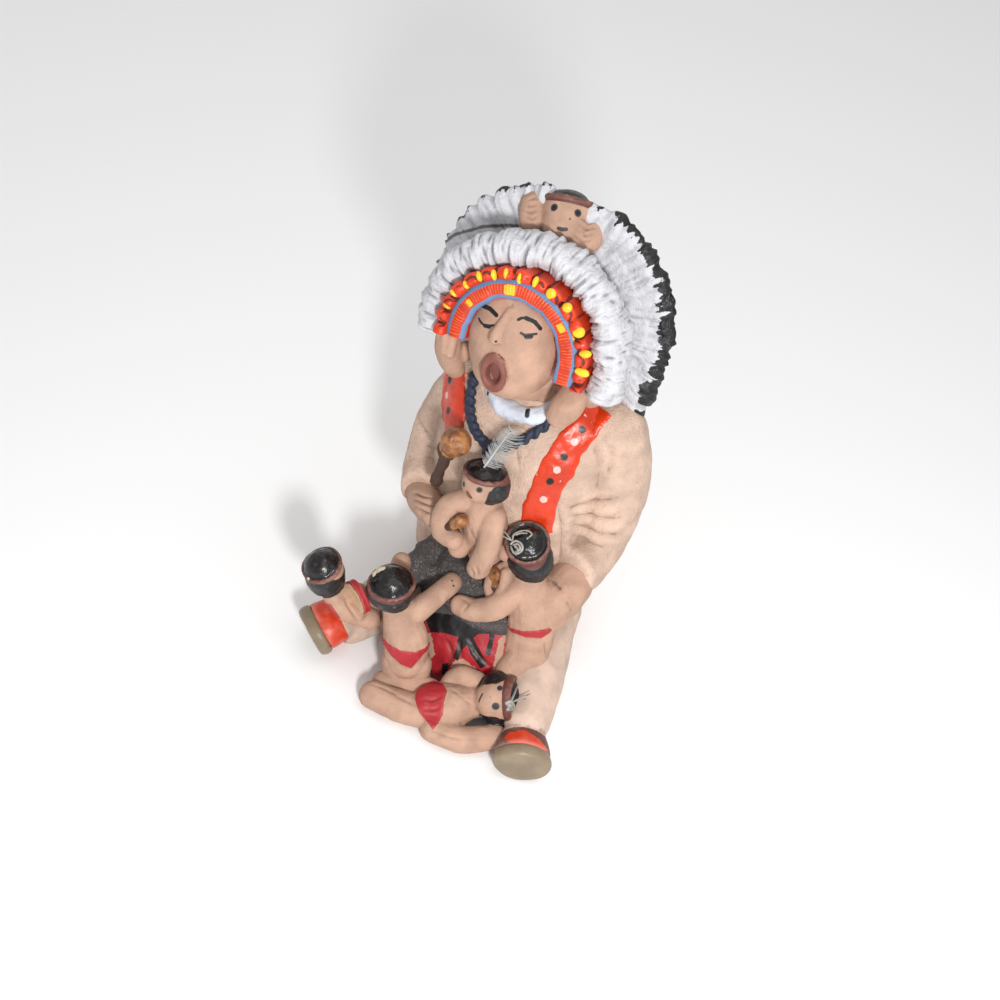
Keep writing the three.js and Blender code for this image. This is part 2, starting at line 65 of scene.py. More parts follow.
def cameraPlace():
    turn, rise, roll = (math.radians(view[key]) for key in ("azimuth", "elevation", "roll"))
    back = Vector((math.sin(turn) * math.cos(rise), -math.cos(turn) * math.cos(rise), math.sin(rise)))
    level = Vector((math.cos(turn), math.sin(turn), 0))
    above = back.cross(level)
    right = level * math.cos(roll) + above * math.sin(roll)
    up = above * math.cos(roll) - level * math.sin(roll)
    middle = view["picture"] / 2
    across, down = ((value - middle) / view["focal"] * view["distance"] for value in view["aimSeenAt"])
    eye = Vector(view["aim"]) + back * view["distance"] - right * across + up * down
    return eye, right, up, back


eye, pictureRight, pictureUp, pictureBack = cameraPlace()


def makeCamera():
    lens = bpy.data.cameras.new("camera")
    lens.sensor_width = 36
    lens.lens = lens.sensor_width * view["focal"] / view["picture"]
    lens.clip_start, lens.clip_end = 0.02, 20
    camera = bpy.data.objects.new("camera", lens)
    camera.matrix_world = Matrix.Translation(eye * mm) @ axesAlong(pictureRight, pictureUp, pictureBack)
    bpy.context.scene.collection.objects.link(camera)
    bpy.context.scene.camera = camera


makeCamera()


# Modelling helpers, all in millimetres
def place(centre, pitch=0, lean=0, yaw=0):
    # tips back by pitch, leans to the figure's left and turns, in degrees
    turn = Euler([math.radians(angle) for angle in (-pitch, lean, yaw)], "XYZ")
    return Matrix.Translation(Vector(centre)) @ turn.to_matrix().to_4x4()


def along(stations, per=5):
    # a smooth route through stations of any length of tuple
    rows = [stations[0], *stations, stations[-1]]
    rows = np.array(rows, float)
    found = []
    for i in range(len(stations) - 1):
        a, b, c, d = rows[i:i + 4]
        for t in np.linspace(0, 1, per, endpoint=False):
            found.append(0.5 * (2 * b + (c - a) * t + (2 * a - 5 * b + 4 * c - d) * t ** 2
                                + (3 * b - a - 3 * c + d) * t ** 3))
    return np.array([*found, rows[-1]])


def addBall(bm, centre, half, into=Matrix(), detail=4):
    half = [half] * 3 if isinstance(half, (int, float)) else half
    ball = Matrix.Translation(centre) @ Matrix.Diagonal((*half, 1))
    bmesh.ops.create_icosphere(bm, subdivisions=detail, radius=1, matrix=into @ ball)


def edgesOf(ring):
    return list({edge for vert in ring for edge in vert.link_edges})


def bridged(bm, ring, before):
    # joins a new ring to the edges of the one before it and gives its own edges back
    edges = edgesOf(ring)
    if before:
        bmesh.ops.bridge_loops(bm, edges=before + edges)
    return edges


def heading(route, i):
    # which way a route runs at its station i
    return Vector(route[min(i + 1, len(route) - 1)][:3] - route[max(i - 1, 0)][:3]).normalized()


def addLimb(bm, stations, sides=18, flat=1, into=Matrix(), rounded=(0, -1)):
    # rings of x, y, z, radius bridged into a tube, with a ball at the rounded ends
    route = along(stations)
    chord = Vector(route[-1][:3] - route[0][:3])
    crosswise = min(Matrix.Identity(3), key=lambda axis: abs(axis.dot(chord)))
    before = None
    for i, (x, y, z, radius) in enumerate(route):
        forward = heading(route, i)
        side = forward.cross(crosswise).normalized()
        turn = axesAlong(side, forward.cross(side), forward)
        matrix = into @ Matrix.Translation((x, y, z)) @ turn @ Matrix.Diagonal((radius, radius * flat, 1, 1))
        last = i in (0, len(route) - 1)
        ring = bmesh.ops.create_circle(bm, segments=sides, radius=1, cap_ends=last, matrix=matrix)["verts"]
        before = bridged(bm, ring, before)
        if last and (0 if i == 0 else -1) in rounded:
            ball = matrix @ Matrix.Diagonal((1, 1, radius, 1))
            bmesh.ops.create_icosphere(bm, subdivisions=3, radius=1, matrix=ball)


squarish = 0.85  # the power that squares an oval: 1 leaves it round


def addStack(bm, sections, squareness=squarish):
    # level rings of height, middle x and y, half width, half depth
    before = None
    route = along(sections)
    for i, (z, x, y, halfWidth, halfDepth) in enumerate(route):
        last = i in (0, len(route) - 1)
        ring = bmesh.ops.create_circle(bm, segments=72, radius=1, cap_ends=last)["verts"]
        for vert in ring:
            a, b = (math.copysign(abs(part) ** squareness, part) for part in vert.co.xy)
            vert.co = (x + a * halfWidth, y + b * halfDepth, z)
        before = bridged(bm, ring, before)


def pieceFrom(name, bm):
    mesh = bpy.data.meshes.new(name)
    bm.to_mesh(mesh)
    bm.free()
    piece = bpy.data.objects.new(name, mesh)
    bpy.context.scene.collection.objects.link(piece)
    return piece


def moulded(piece, voxel, soften):
    # one skin of clay over the lumps that a piece is built up of
    skin = piece.modifiers.new("skin", "REMESH")
    skin.mode, skin.voxel_size = "VOXEL", voxel
    melt = piece.modifiers.new("melt", "SMOOTH")
    melt.factor, melt.iterations = 0.5, soften
    ready = piece.evaluated_get(bpy.context.evaluated_depsgraph_get())
    mesh = bpy.data.meshes.new_from_object(ready)
    piece.modifiers.clear()
    rough, piece.data = piece.data, mesh
    bpy.data.meshes.remove(rough)
    mesh.name = piece.name
    return piece


def spots(piece):
    found = np.empty(len(piece.data.vertices) * 3)
    piece.data.vertices.foreach_get("co", found)
    return found.reshape(-1, 3)


def outward(piece):
    piece.data.update()
    found = np.empty(len(piece.data.vertices) * 3, np.float32)
    piece.data.vertex_normals.foreach_get("vector", found)
    return found.reshape(-1, 3).astype(float)


def moveTo(piece, points):
    piece.data.vertices.foreach_set("co", np.ascontiguousarray(points).ravel())
    piece.data.update()


def swell(piece, amount):
    # moves the surface out by amount, one value for each vertex
    moveTo(piece, spots(piece) + outward(piece) * np.asarray(amount)[:, None])


nowhere = 20  # a field's value well away from its paint


def mark(piece, **fields):
    # stores values on the vertices for the paint to read
    for name, values in fields.items():
        layer = piece.data.attributes.new(name, "FLOAT", "POINT")
        layer.data.foreach_set("value", np.asarray(values, np.float32))


def nearest(piece, fields):
    # how far outside the nearest of several painted marks each vertex is
    return np.min([nowhere * np.ones(len(piece.data.vertices)), *fields], axis=0)


def smoothly(low, high, value):
    t = np.clip((value - low) / (high - low), 0, 1)
    return t * t * (3 - 2 * t)


def lumps(points, size, seed):
    # smooth random lumps between -1 and 1, about size across
    lattice = np.random.default_rng(seed).uniform(-1, 1, (32, 32, 32))
    scaled = np.asarray(points, float) / size
    cell = np.floor(scaled).astype(int)
    part = scaled - cell
    part = part * part * (3 - 2 * part)
    total = np.zeros(len(scaled))
    for corner in itertools.product((0, 1), repeat=3):
        weight = np.prod(np.where(corner, part, 1 - part), axis=1)
        total += weight * lattice[tuple(((cell + corner) % 32).T)]
    return total


def distanceTo(points, path):
    # from each point to a line through the path, and how far along it that is
    path = np.asarray(path, float)
    best = np.full(len(points), 1e9)
    where = np.zeros(len(points))
    for i, (start, end) in enumerate(zip(path[:-1], path[1:])):
        span = end - start
        t = np.clip((points - start) @ span / max(span @ span, 1e-9), 0, 1)
        gap = np.linalg.norm(points - start - t[:, None] * span, axis=1)
        where = np.where(gap < best, (i + t) / (len(path) - 1), where)
        best = np.minimum(best, gap)
    return best, where


def local(points, matrix):
    # points as they lie in the frame of a matrix
    own = np.array(matrix.inverted())
    return points @ own[:3, :3].T + own[:3, 3]


def treeOf(piece, unit=1):
    faces = [face.vertices for face in piece.data.polygons]
    return BVHTree.FromPolygons([vert.co / unit for vert in piece.data.vertices], faces)


def rayThrough(pixel):
    across, down = (value - view["picture"] / 2 for value in pixel[:2])
    return (pictureRight * across - pictureUp * down - pictureBack * view["focal"]).normalized()


def seen(piece, pixels):
    # where the camera sees the piece at these pixels of the photograph
    tree = treeOf(piece)
    hits = [tree.ray_cast(eye, rayThrough(pixel))[0] for pixel in pixels]
    return [tuple(hit) for hit in hits if hit is not None]


def creased(piece, creases):
    # creases drawn with a tool along pixels, tapering at both ends; a negative depth raises a fold
    for pixels, width, depth in creases:
        path = seen(piece, pixels)
        if len(path) > 1:
            gap, where = distanceTo(spots(piece), along(path))
            taper = np.sin(np.pi * np.clip(where, 0.04, 0.96)) ** 0.5
            swell(piece, -depth * taper * np.exp(-(gap / width) ** 2))


def finished(piece, material, *nodes, slot="painted_clay"):
    # into metres, onto its body and in place of its CAD node
    piece.data.transform(Matrix.Scale(mm, 4))
    piece.data.polygons.foreach_set("use_smooth", [True] * len(piece.data.polygons))
    piece.data.materials.clear()
    piece.data.materials.append(material)
    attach(piece, "root")
    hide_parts(*(nodes or ["storyteller_group"]))
    print("made", piece.name, len(piece.data.polygons), "faces")
    return piece


def hollows(piece, rounds=4):
    # how far each vertex sits below the ones round it
    points, normals = spots(piece), outward(piece)
    pairs = np.empty(len(piece.data.edges) * 2, int)
    piece.data.edges.foreach_get("vertices", pairs)
    near, far = pairs.reshape(-1, 2).T
    ends, others = np.r_[near, far], np.r_[far, near]
    count = np.bincount(ends, minlength=len(points))[:, None]
    level = points
    for _ in range(rounds):
        level = np.stack([np.bincount(ends, level[others, k], len(points)) for k in range(3)], 1) / count
    return ((level - points) * normals).sum(1)


def stroke(piece, pixels, width):
    # how far outside a brush stroke each vertex is, for a stroke or a dot seen at these pixels
    path = seen(piece, pixels)
    path = path if len(path) > 1 else path * 2
    return distanceTo(spots(piece), path)[0] - width / 2


def dotted(piece, dots):
    return [stroke(piece, [pixel], width) for pixel, width in dots]


def patch(piece, outline):
    # how far outside a painted shape each vertex is, for a shape outlined in pixels of the photograph
    points = spots(piece)
    away = points - np.array(eye)
    depth = away @ -np.array(pictureBack)
    across = view["picture"] / 2 + view["focal"] * (away @ np.array(pictureRight)) / depth
    down = view["picture"] / 2 - view["focal"] * (away @ np.array(pictureUp)) / depth
    flat = np.stack([across, down], 1)
    corners = np.array([*outline, outline[0]], float)
    gap = distanceTo(flat, corners)[0]
    inside = np.zeros(len(flat), bool)
    for (x0, y0), (x1, y1) in zip(corners[:-1], corners[1:]):
        if y0 != y1:
            crossing = x0 + (down - y0) * (x1 - x0) / (y1 - y0)
            inside ^= ((y0 > down) != (y1 > down)) & (across < crossing)
    hidden = (outward(piece) * away).sum(1) > 0
    return np.where(inside, -gap, gap) * depth / view["focal"] + nowhere * hidden


def polar(points):
    angle = np.arctan2(points[:, 2], points[:, 0])
    angle = np.where(angle < -math.pi / 2, angle + 2 * math.pi, angle)
    return angle, np.hypot(points[:, 0], points[:, 2]), points[:, 1]


def fromPolar(angle, reach, depth, straight=None):
    # with straight, the arch's two ends run straight down beside the face, like a horseshoe
    bent = angle if straight is None else np.clip(angle, 0, math.pi)
    down = 0 if straight is None else (np.abs(angle - math.pi / 2) - math.pi / 2).clip(0) * straight
    return np.stack([np.cos(bent) * reach, depth, np.sin(bent) * reach - down], 1)


def closed(section, spacing):
    # the same closed outline with its points evenly spaced
    line = along([*section, section[0]], 12)
    steps = np.r_[0, np.cumsum(np.linalg.norm(np.diff(line, axis=0), axis=1))]
    at = np.linspace(0, steps[-1], int(steps[-1] / spacing), endpoint=False)
    return np.stack([np.interp(at, steps, line[:, k]) for k in range(line.shape[1])], 1)


def addArch(bm, section, start, end, steps, into=Matrix()):
    # a closed outline of reach and depth swept round the y axis, from start to end in degrees
    ring = bmesh.ops.create_circle(bm, segments=len(section), radius=1)["verts"]
    turn = Matrix.Rotation(math.radians(-start), 4, "Y")
    for vert, (reach, depth) in zip(ring, section):
        vert.co = turn @ Vector((reach, depth, 0))
    edges = edgesOf(ring)
    whole = abs(end - start) > 359
    sweep = math.radians(end - start)
    bmesh.ops.spin(bm, geom=edges, axis=(0, -1, 0), cent=(0, 0, 0), angle=sweep, steps=steps, use_merge=whole)
    if not whole:
        bmesh.ops.holes_fill(bm, edges=[edge for edge in bm.edges if edge.is_boundary], sides=0)
    bmesh.ops.recalc_face_normals(bm, faces=bm.faces)
    bmesh.ops.transform(bm, matrix=into, verts=bm.verts)


def addRing(bm, matrix, major, minor):
    # a doughnut lying in its own x and y
    turns = np.linspace(0, 2 * math.pi, 14, False)
    section = [(major + minor * math.cos(turn), minor * math.sin(turn)) for turn in turns]
    own = bmesh.new()
    addArch(own, section, 0, 360, 48, matrix @ Matrix.Rotation(math.radians(90), 4, "X"))
    merged = bpy.data.meshes.new("ring")
    own.to_mesh(merged)
    own.free()
    bm.from_mesh(merged)
    bpy.data.meshes.remove(merged)


# Paints: node trees written as sums on their sockets
class Signal:
    def __init__(self, paint, socket):
        self.paint, self.socket = paint, socket

    def __add__(self, other):
        return self.paint.sum("ADD", self, other)

    def __radd__(self, other):
        return self.paint.sum("ADD", other, self)

    def __sub__(self, other):
        return self.paint.sum("SUBTRACT", self, other)

    def __rsub__(self, other):
        return self.paint.sum("SUBTRACT", other, self)

    def __mul__(self, other):
        return self.paint.sum("MULTIPLY", self, other)

    def __rmul__(self, other):
        return self.paint.sum("MULTIPLY", other, self)


class Paint:
    def __init__(self, name):
        self.material = bpy.data.materials.new(name)
        self.material.use_nodes = True
        self.tree = self.material.node_tree
        self.shader = self.tree.nodes["Principled BSDF"]
        self.place = self.node("ShaderNodeTexCoord", {}, {}, "Object")

    def wire(self, value, entry):
        if isinstance(value, Signal):
            self.tree.links.new(value.socket, entry)
        elif isinstance(value, tuple) and entry.type == "RGBA":
            entry.default_value = (*value, 1)
        else:
            entry.default_value = value

    def node(self, kind, settings, inputs, output=0):
        made = self.tree.nodes.new(kind)
        for key, value in settings.items():
            setattr(made, key, value)
        for key, value in inputs.items():
            self.wire(value, made.inputs[key])
        return Signal(self, made.outputs[output])

    def sum(self, operation, *values):
        return self.node("ShaderNodeMath", {"operation": operation}, dict(enumerate(values)))

    def mix(self, factor, low, high):
        return self.node("ShaderNodeMix", {"data_type": "RGBA"}, {0: factor, 6: low, 7: high}, 2)

    def edge(self, value, low, high):
        entries = {"Value": value, "From Min": low, "From Max": high}
        return self.node("ShaderNodeMapRange", {"interpolation_type": "SMOOTHSTEP"}, entries)

    def noise(self, size, detail=2):
        entries = {"Vector": self.place, "Scale": 1 / (size * mm), "Detail": detail}
        return self.node("ShaderNodeTexNoise", {}, entries)

    def read(self, name):
        return self.node("ShaderNodeAttribute", {"attribute_name": name}, {}, "Fac")

    def made(self, colour, roughness, height):
        bump = self.node("ShaderNodeBump", {}, {"Height": height, "Distance": mm, "Strength": 1})
        for key, value in {"Base Color": colour, "Roughness": roughness, "Normal": bump}.items():
            self.wire(value, self.shader.inputs[key])
        return self.material


def rgb(*levels):
    # a screen colour as linear light
    return tuple(((level / 255 + 0.055) / 1.055) ** 2.4 if level > 10 else level / 3295 for level in levels)


def shade(colour, share):
    return tuple(min(1, part * share) for part in colour)


palette = {
    "skin": rgb(180, 144, 123),
    "shirt": rgb(203, 174, 155),
    "leggings": rgb(196, 170, 154),
    "orange": rgb(200, 52, 13),
    "red": rgb(164, 28, 38),
    "navy": rgb(34, 42, 62),
    "hair": rgb(11, 12, 14),
    "slate": rgb(19, 22, 26),
    "band": rgb(98, 52, 46),
    "sole": rgb(130, 114, 92),
    "blanket": rgb(84, 79, 78),
    "feathers": rgb(205, 205, 209),
    # the blue-grey painted shade in the valleys of the feathers
    "valley": rgb(112, 115, 126),
    "blue": rgb(92, 132, 172),
    "yellow": rgb(238, 188, 34),
    "mouth": rgb(122, 68, 58),
    "throat": rgb(116, 62, 52),
    "gouge": rgb(110, 28, 20),
    "white": rgb(226, 222, 216),
    # brown for dirt and painted shade in the hollows
    "dirtAndShade": rgb(78, 54, 42),
    "amber": rgb(122, 74, 40),
    "bark": rgb(56, 36, 26),
    "glue": rgb(196, 186, 160),
}


def paintedClay(name, ground, coats=(), roughness=0.86, grain=0.08, soilAndShade=0.62, specks=0.4):
    # a matt ground under coats of field, colour, roughness and raggedness, each where its field is below zero
    paint = Paint(name)
    wobble = paint.noise(1.5, 3) - 0.5
    clouds = paint.edge(paint.noise(8, 5), 0.3, 0.7)
    colour = paint.mix(clouds, shade(ground, 0.84), shade(ground, 1.12))
    fine = paint.noise(0.45, 3)
    dots = paint.edge(fine, 0.68, 0.74) * paint.edge(paint.noise(5, 2), 0.42, 0.62)
    colour = paint.mix(dots * specks, colour, shade(ground, 0.45))
    shine = paint.noise(2.5, 2) * 0.12 + (roughness - 0.06)
    relief = fine * grain * 1.5 + paint.noise(0.9, 2) * grain * 1.6 + paint.noise(2.6, 3) * grain * 2.4
    for field, tint, gloss, ragged in coats:
        cover = paint.edge(paint.read(field) + wobble * ragged, 0.1, -0.1)
        brushed = paint.mix(paint.noise(3, 3), shade(tint, 0.8), shade(tint, 1.15))
        colour = paint.mix(cover, colour, brushed)
        shine = shine + cover * (gloss + paint.noise(1.1, 2) * 0.15 - shine)
        relief = relief * (1 - cover * 0.65) + cover * 0.05
    hollow = paint.read("hollow")
    # lighter on the ridges: a painted highlight
    colour = paint.mix(paint.edge(hollow, -0.03, -0.3) * 0.22, colour, shade(ground, 1.5))
    # darker brown in the hollows and creases, partly dirt and partly painted shade
    low = paint.edge(hollow + (fine - 0.5) * 0.1, 0.02, 0.24) * soilAndShade
    colour = paint.mix(low, colour, palette["dirtAndShade"])
    return paint.made(colour, shine, relief)


print("helpers ready")


# The seat, the belly and the chest with both sleeves, as one lump of clay painted as a shirt
shirt = {
    "sections": [
        (0, 0, 2, 35, 22), (4, 0, 2, 38, 24), (22, 0, 1, 39, 26), (44, 0, -2.6, 36, 29.4),
        (66, 0, -3, 35, 29),
        (88, -1, -2, 34, 25), (102, -2, 0, 33, 20), (112, -3, 1, 27, 15), (119, -4, 0, 14, 10),
    ],
    "limbs": [
        [(-4, 0, 106, 12), (-6, -6, 124, 10.5)],
        [(30, 1, 103, 12.2), (35.6, 1, 86, 12.6), (37, -2, 64, 12.8), (36.6, -7, 51, 12),
         (35.8, -17, 48, 10.8), (34, -25.5, 49, 10.4)],
        [(-27.5, 1, 99, 11.5), (-34, -2, 82, 11), (-35.5, -8, 67, 11), (-34.5, -14, 59.5, 10.6),
         (-32.5, -21, 59, 9.6), (-31, -27, 59, 8.8)],
    ],
    "voxel": 0.95,
    "soften": 6,
    "swells": [(16, 0.8), (5, 0.32), (2, 0.14)],
    "seed": 1,
    # creases as pixels of the photograph, with their width and depth
    "creases": [
        ([(432, 393), (421, 411), (425, 429), (439, 449)], 1.1, 1.2),
        ([(410, 432), (425, 445), (439, 450)], 1.0, 0.9),
        ([(566, 509), (580, 504), (596, 500), (616, 497)], 1.9, 1.6),
        ([(570, 514), (594, 515), (618, 517)], 1.9, 1.9),
        ([(573, 522), (591, 529), (619, 533)], 1.8, 1.5),
        ([(578, 508), (598, 508), (614, 507)], 2.2, -1.5),
        ([(578, 519), (598, 522), (616, 525)], 2.2, -1.5),
        ([(574, 500), (592, 493), (612, 489)], 2.4, -1.0),
        ([(570, 532), (588, 540), (606, 545)], 2.0, 1.1),
        ([(574, 530), (594, 535), (614, 540)], 2.4, -1.0),
        ([(556, 500), (562, 530), (560, 560)], 1.6, 1.3),
        ([(500, 428), (515, 425), (530, 431)], 1.0, 0.8),
        ([(496, 415), (510, 419), (524, 421)], 0.9, 0.6),
        ([(508, 435), (517, 447), (520, 470)], 1.2, 0.7),
        ([(604, 430), (612, 455), (606, 480)], 1.6, 0.7),
    ],
    "hem": 9,
    "hemWave": 1.2,
    "hemStep": 0.9,
    "throat": [(-5, -2, 112), (-6, -6, 124)],
    "throatRadius": 13.5,
    "collar": 114.5,
}


def chest(x, z):
    # the front of the torso at a place
    rows = np.array(shirt["sections"], float)
    _, middleX, middleY, halfWidth, halfDepth = [np.interp(z, rows[:, 0], rows[:, k]) for k in range(5)]
    aside = min(0.97, abs(x - middleX) / halfWidth) ** (1 / squarish)
    return middleY - halfDepth * math.sqrt(1 - aside * aside) ** squarish


def swelled(piece, swells, seed):
    # lumps left by the hand, each with its size and height
    points = spots(piece)
    swell(piece, sum(lumps(points, size, seed + i) * height for i, (size, height) in enumerate(swells)))


def modelled(name, bm, shape):
    # a lump of clay with what the hand and the tool left on it
    piece = moulded(pieceFrom(name, bm), shape["voxel"], shape["soften"])
    swelled(piece, shape["swells"], shape["seed"])
    creased(piece, shape.get("creases", []))
    return piece


def groundedWithHollows(piece):
    # flat on the ground, and marked with how far each vertex sits in a hollow, for the dirt and painted shade
    # in the hollows and the painted highlight on the ridges
    points = spots(piece)
    points[:, 2] = np.maximum(points[:, 2], 0)
    moveTo(piece, points)
    mark(piece, hollow=hollows(piece))


bm = bmesh.new()
addStack(bm, shirt["sections"])
for stations in shirt["limbs"]:
    addLimb(bm, stations, sides=28, rounded=(0,))
shirtPiece = modelled("shirt", bm, shirt)
points = spots(shirtPiece)
overHem = points[:, 2] - (shirt["hem"] + shirt["hemWave"] * lumps(points, 12, 9))
swell(shirtPiece, shirt["hemStep"] * smoothly(-0.8, 0.8, overHem))
groundedWithHollows(shirtPiece)
neckAt = distanceTo(points, shirt["throat"])[0] - shirt["throatRadius"]
mark(shirtPiece, seat=overHem, throat=np.maximum(neckAt, shirt["collar"] - points[:, 2]))
finished(shirtPiece, paintedClay("shirt_paint", palette["shirt"], [
    ("seat", palette["leggings"], 0.85, 0.6),
    ("throat", palette["skin"], 0.85, 0.8),
], grain=0.26, specks=0.7, soilAndShade=0.42))


# The hands: a palm and a row of fingers that run on from it
hands = {
    "right": [(-32, -26, 57, 6.6), (-28, -32, 59.5, 6.9), (-23.5, -38, 62.5, 6.1), (-19.5, -42, 64, 4.6)],
    "left": [(36, -27, 45, 9.6), (34, -36, 42, 9.8), (31, -42, 37, 9), (28, -45, 32, 7)],
    "voxel": 0.55,
    "soften": 4,
    "swells": [(6, 0.3), (2, 0.08)],
    "seed": 4,
    "creases": [
        ([(414, 492), (424, 496), (437, 500)], 0.75, 0.9),
        ([(413, 499), (424, 503), (438, 508)], 0.75, 0.9),
        ([(414, 506), (425, 511), (438, 515)], 0.75, 0.9),
        ([(549, 578), (556, 583), (562, 590)], 1.2, 1.6),
        ([(566, 600), (572, 612), (570, 622)], 0.8, 0.5),
    ],
}
bm = bmesh.new()
addLimb(bm, hands["right"], flat=0.85)
addLimb(bm, hands["left"])
handPiece = modelled("hands", bm, hands)
groundedWithHollows(handPiece)
finished(handPiece, paintedClay("skin_paint", palette["skin"], grain=0.14, specks=0.6))


# Legs stretched along the ground, feet standing on their heels
legs = {
    "right": {"hip": (-15, -24, 17), "ankle": (-39, -64, 10), "heading": -38, "tilt": 22,
              "sole": (-46.5, -74.5, 11.2)},
    "left": {"hip": (28, -20, 17), "ankle": (44, -70, 11), "heading": 20, "tilt": 0,
             "sole": (49.2, -86, 9.4)},
    "girths": (15, 12.6, 9.6),
    # how far out from the middle of the sole, as a share of its rim, and how far up the foot
    "foot": [(0, 0), (0.93, 0), (0.96, 1.5), (0.93, 4), (0.88, 6), (0.8, 9), (0.62, 13), (0.34, 16), (0, 17)],
    "voxel": 0.88,
    "soften": 6,
    "swells": [(14, 0.7), (4, 0.25), (1.6, 0.08)],
    "seed": 7,
    "moccasin": 8.5,  # how far up the foot the orange reaches
    "heel": 2.2,  # how much less of the heel it covers
    # the orange left free of brown on the left moccasin, in pixels
    "wedge": [(505, 737), (510, 733.5), (516, 732), (524, 730.5), (530, 734), (536, 738), (543, 744),
              (547, 750), (538, 748), (520, 744), (507, 741)],
}
soles = {
    "rim": 11.25,
    "flat": 0.82,
    "thickness": 4.6,
    "voxel": 0.56,
    "soften": 4,
    "swells": [(7, 0.35), (2, 0.07)],
    "seed": 11,
}


def footPlace(shape):
    turn = Euler((math.radians(shape["tilt"]), 0, math.radians(shape["heading"])), "XYZ").to_matrix().to_4x4()
    return Matrix.Translation(shape["sole"]) @ turn


def addLathe(bm, profile, matrix, flat=1, steps=64):
    # a profile of reach and depth turned full round the y axis
    verts = [bm.verts.new((reach, depth, 0)) for reach, depth in profile]
    edges = [bm.edges.new(pair) for pair in zip(verts, verts[1:])]
    bmesh.ops.spin(bm, geom=verts + edges, axis=(0, -1, 0), cent=(0, 0, 0), angle=2 * math.pi, steps=steps,
                   use_merge=True)
    found = edge = {verts[0]}
    while edge:
        edge = {other for vert in edge for link in vert.link_edges for other in link.verts} - found
        found = found | edge
    bmesh.ops.transform(bm, matrix=matrix @ Matrix.Diagonal((1, 1, flat, 1)), verts=list(found))
    bmesh.ops.remove_doubles(bm, verts=list(found), dist=1e-4)


def addFoot(bm, profile, side, steps=64):
    sized = [(reach * soles["rim"], depth) for reach, depth in profile]
    addLathe(bm, sized, footPlace(legs[side]), soles["flat"], steps)


bm = bmesh.new()
for side in ("right", "left"):
    hip, ankle = (np.array(legs[side][key], float) for key in ("hip", "ankle"))
    stations = (hip, (hip + ankle) / 2, ankle)
    addLimb(bm, [(*point, girth) for point, girth in zip(stations, legs["girths"])], sides=32)
    addFoot(bm, legs["foot"], side)
legPiece = modelled("legs", bm, legs)
groundedWithHollows(legPiece)
points = spots(legPiece)
fromSole = []
for side in ("right", "left"):
    own = local(points, footPlace(legs[side]))
    heel = (own[:, 2] < 0) * smoothly(0, 8, -own[:, 2])
    fromSole.append(own[:, 1] - legs["moccasin"] + legs["heel"] * heel)
onRight = points[:, 0] < 10
shoe = np.where(onRight, *fromSole)
browned = np.where(onRight, 9, np.maximum(shoe, 0.3 - patch(legPiece, legs["wedge"])))
mark(legPiece, shoe=shoe + 0.7 * lumps(points, 5, 3), shoeShade=browned)
finished(legPiece, paintedClay("legging_paint", palette["leggings"], [
    ("shoe", palette["orange"], 0.3, 0.5),
    ("shoeShade", palette["band"], 0.5, 1.0),
], specks=0.3))

bm = bmesh.new()
thick = soles["thickness"]
slab = [(0, -thick), (0.7, -thick - 0.3), (0.92, -thick + 0.1), (0.99, -thick * 0.75), (1.02, -thick * 0.4),
        (1, -0.3), (0.94, 0.5), (0, 0.6)]
for side in ("right", "left"):
    addFoot(bm, slab, side, 96)
solePiece = modelled("soles", bm, soles)
groundedWithHollows(solePiece)
finished(solePiece, paintedClay("sole_paint", palette["sole"], roughness=0.42, specks=0.5, grain=0.04))


# The dark blanket over the lap, with a roll along its edge and one towards the right knee
blanket = {
    "sections": [(3, 2, -28, 28, 14), (14, 2.5, -29, 28.5, 18), (24, 3, -30, 27.5, 20),
                 (33, 4, -32, 23.5, 18.6), (39, 4, -33, 18, 14), (41.5, 4, -33, 12, 9)],
    "squareness": 0.8,
    "rolls": [
        [(-24, -30, 30, 5), (-14, -43, 32, 5), (2, -50, 31, 4.6), (18, -49, 30, 4.8), (27, -38, 30, 6)],
        [(-18.5, -24, 33, 6.5), (-20.5, -34.5, 33, 6.5), (-22.7, -43.5, 32.5, 6), (-25, -51, 31, 5.2)],
    ],
    "voxel": 0.8,
    "soften": 4,
    "swells": [(10, 0.9), (4, 0.5), (1.8, 0.22)],
    "seed": 15,
}
bm = bmesh.new()
addStack(bm, blanket["sections"], blanket["squareness"])
for stations in blanket["rolls"]:
    addLimb(bm, stations)
lapPiece = modelled("blanket", bm, blanket)
groundedWithHollows(lapPiece)
paint = Paint("blanket_paint")
scraped = paint.edge(paint.noise(0.7, 4), 0.5, 0.66) * paint.edge(paint.noise(4, 3), 0.35, 0.6)
wool = paint.mix(paint.noise(3, 4), shade(palette["blanket"], 0.45), palette["blanket"])
wool = paint.mix(scraped, wool, shade(palette["blanket"], 2.4))
rough = paint.noise(1.1, 4) * 0.5 + paint.noise(0.4, 2) * 0.2
finished(lapPiece, paint.made(wool, 0.55 + paint.noise(1.5, 2) * 0.4, rough))


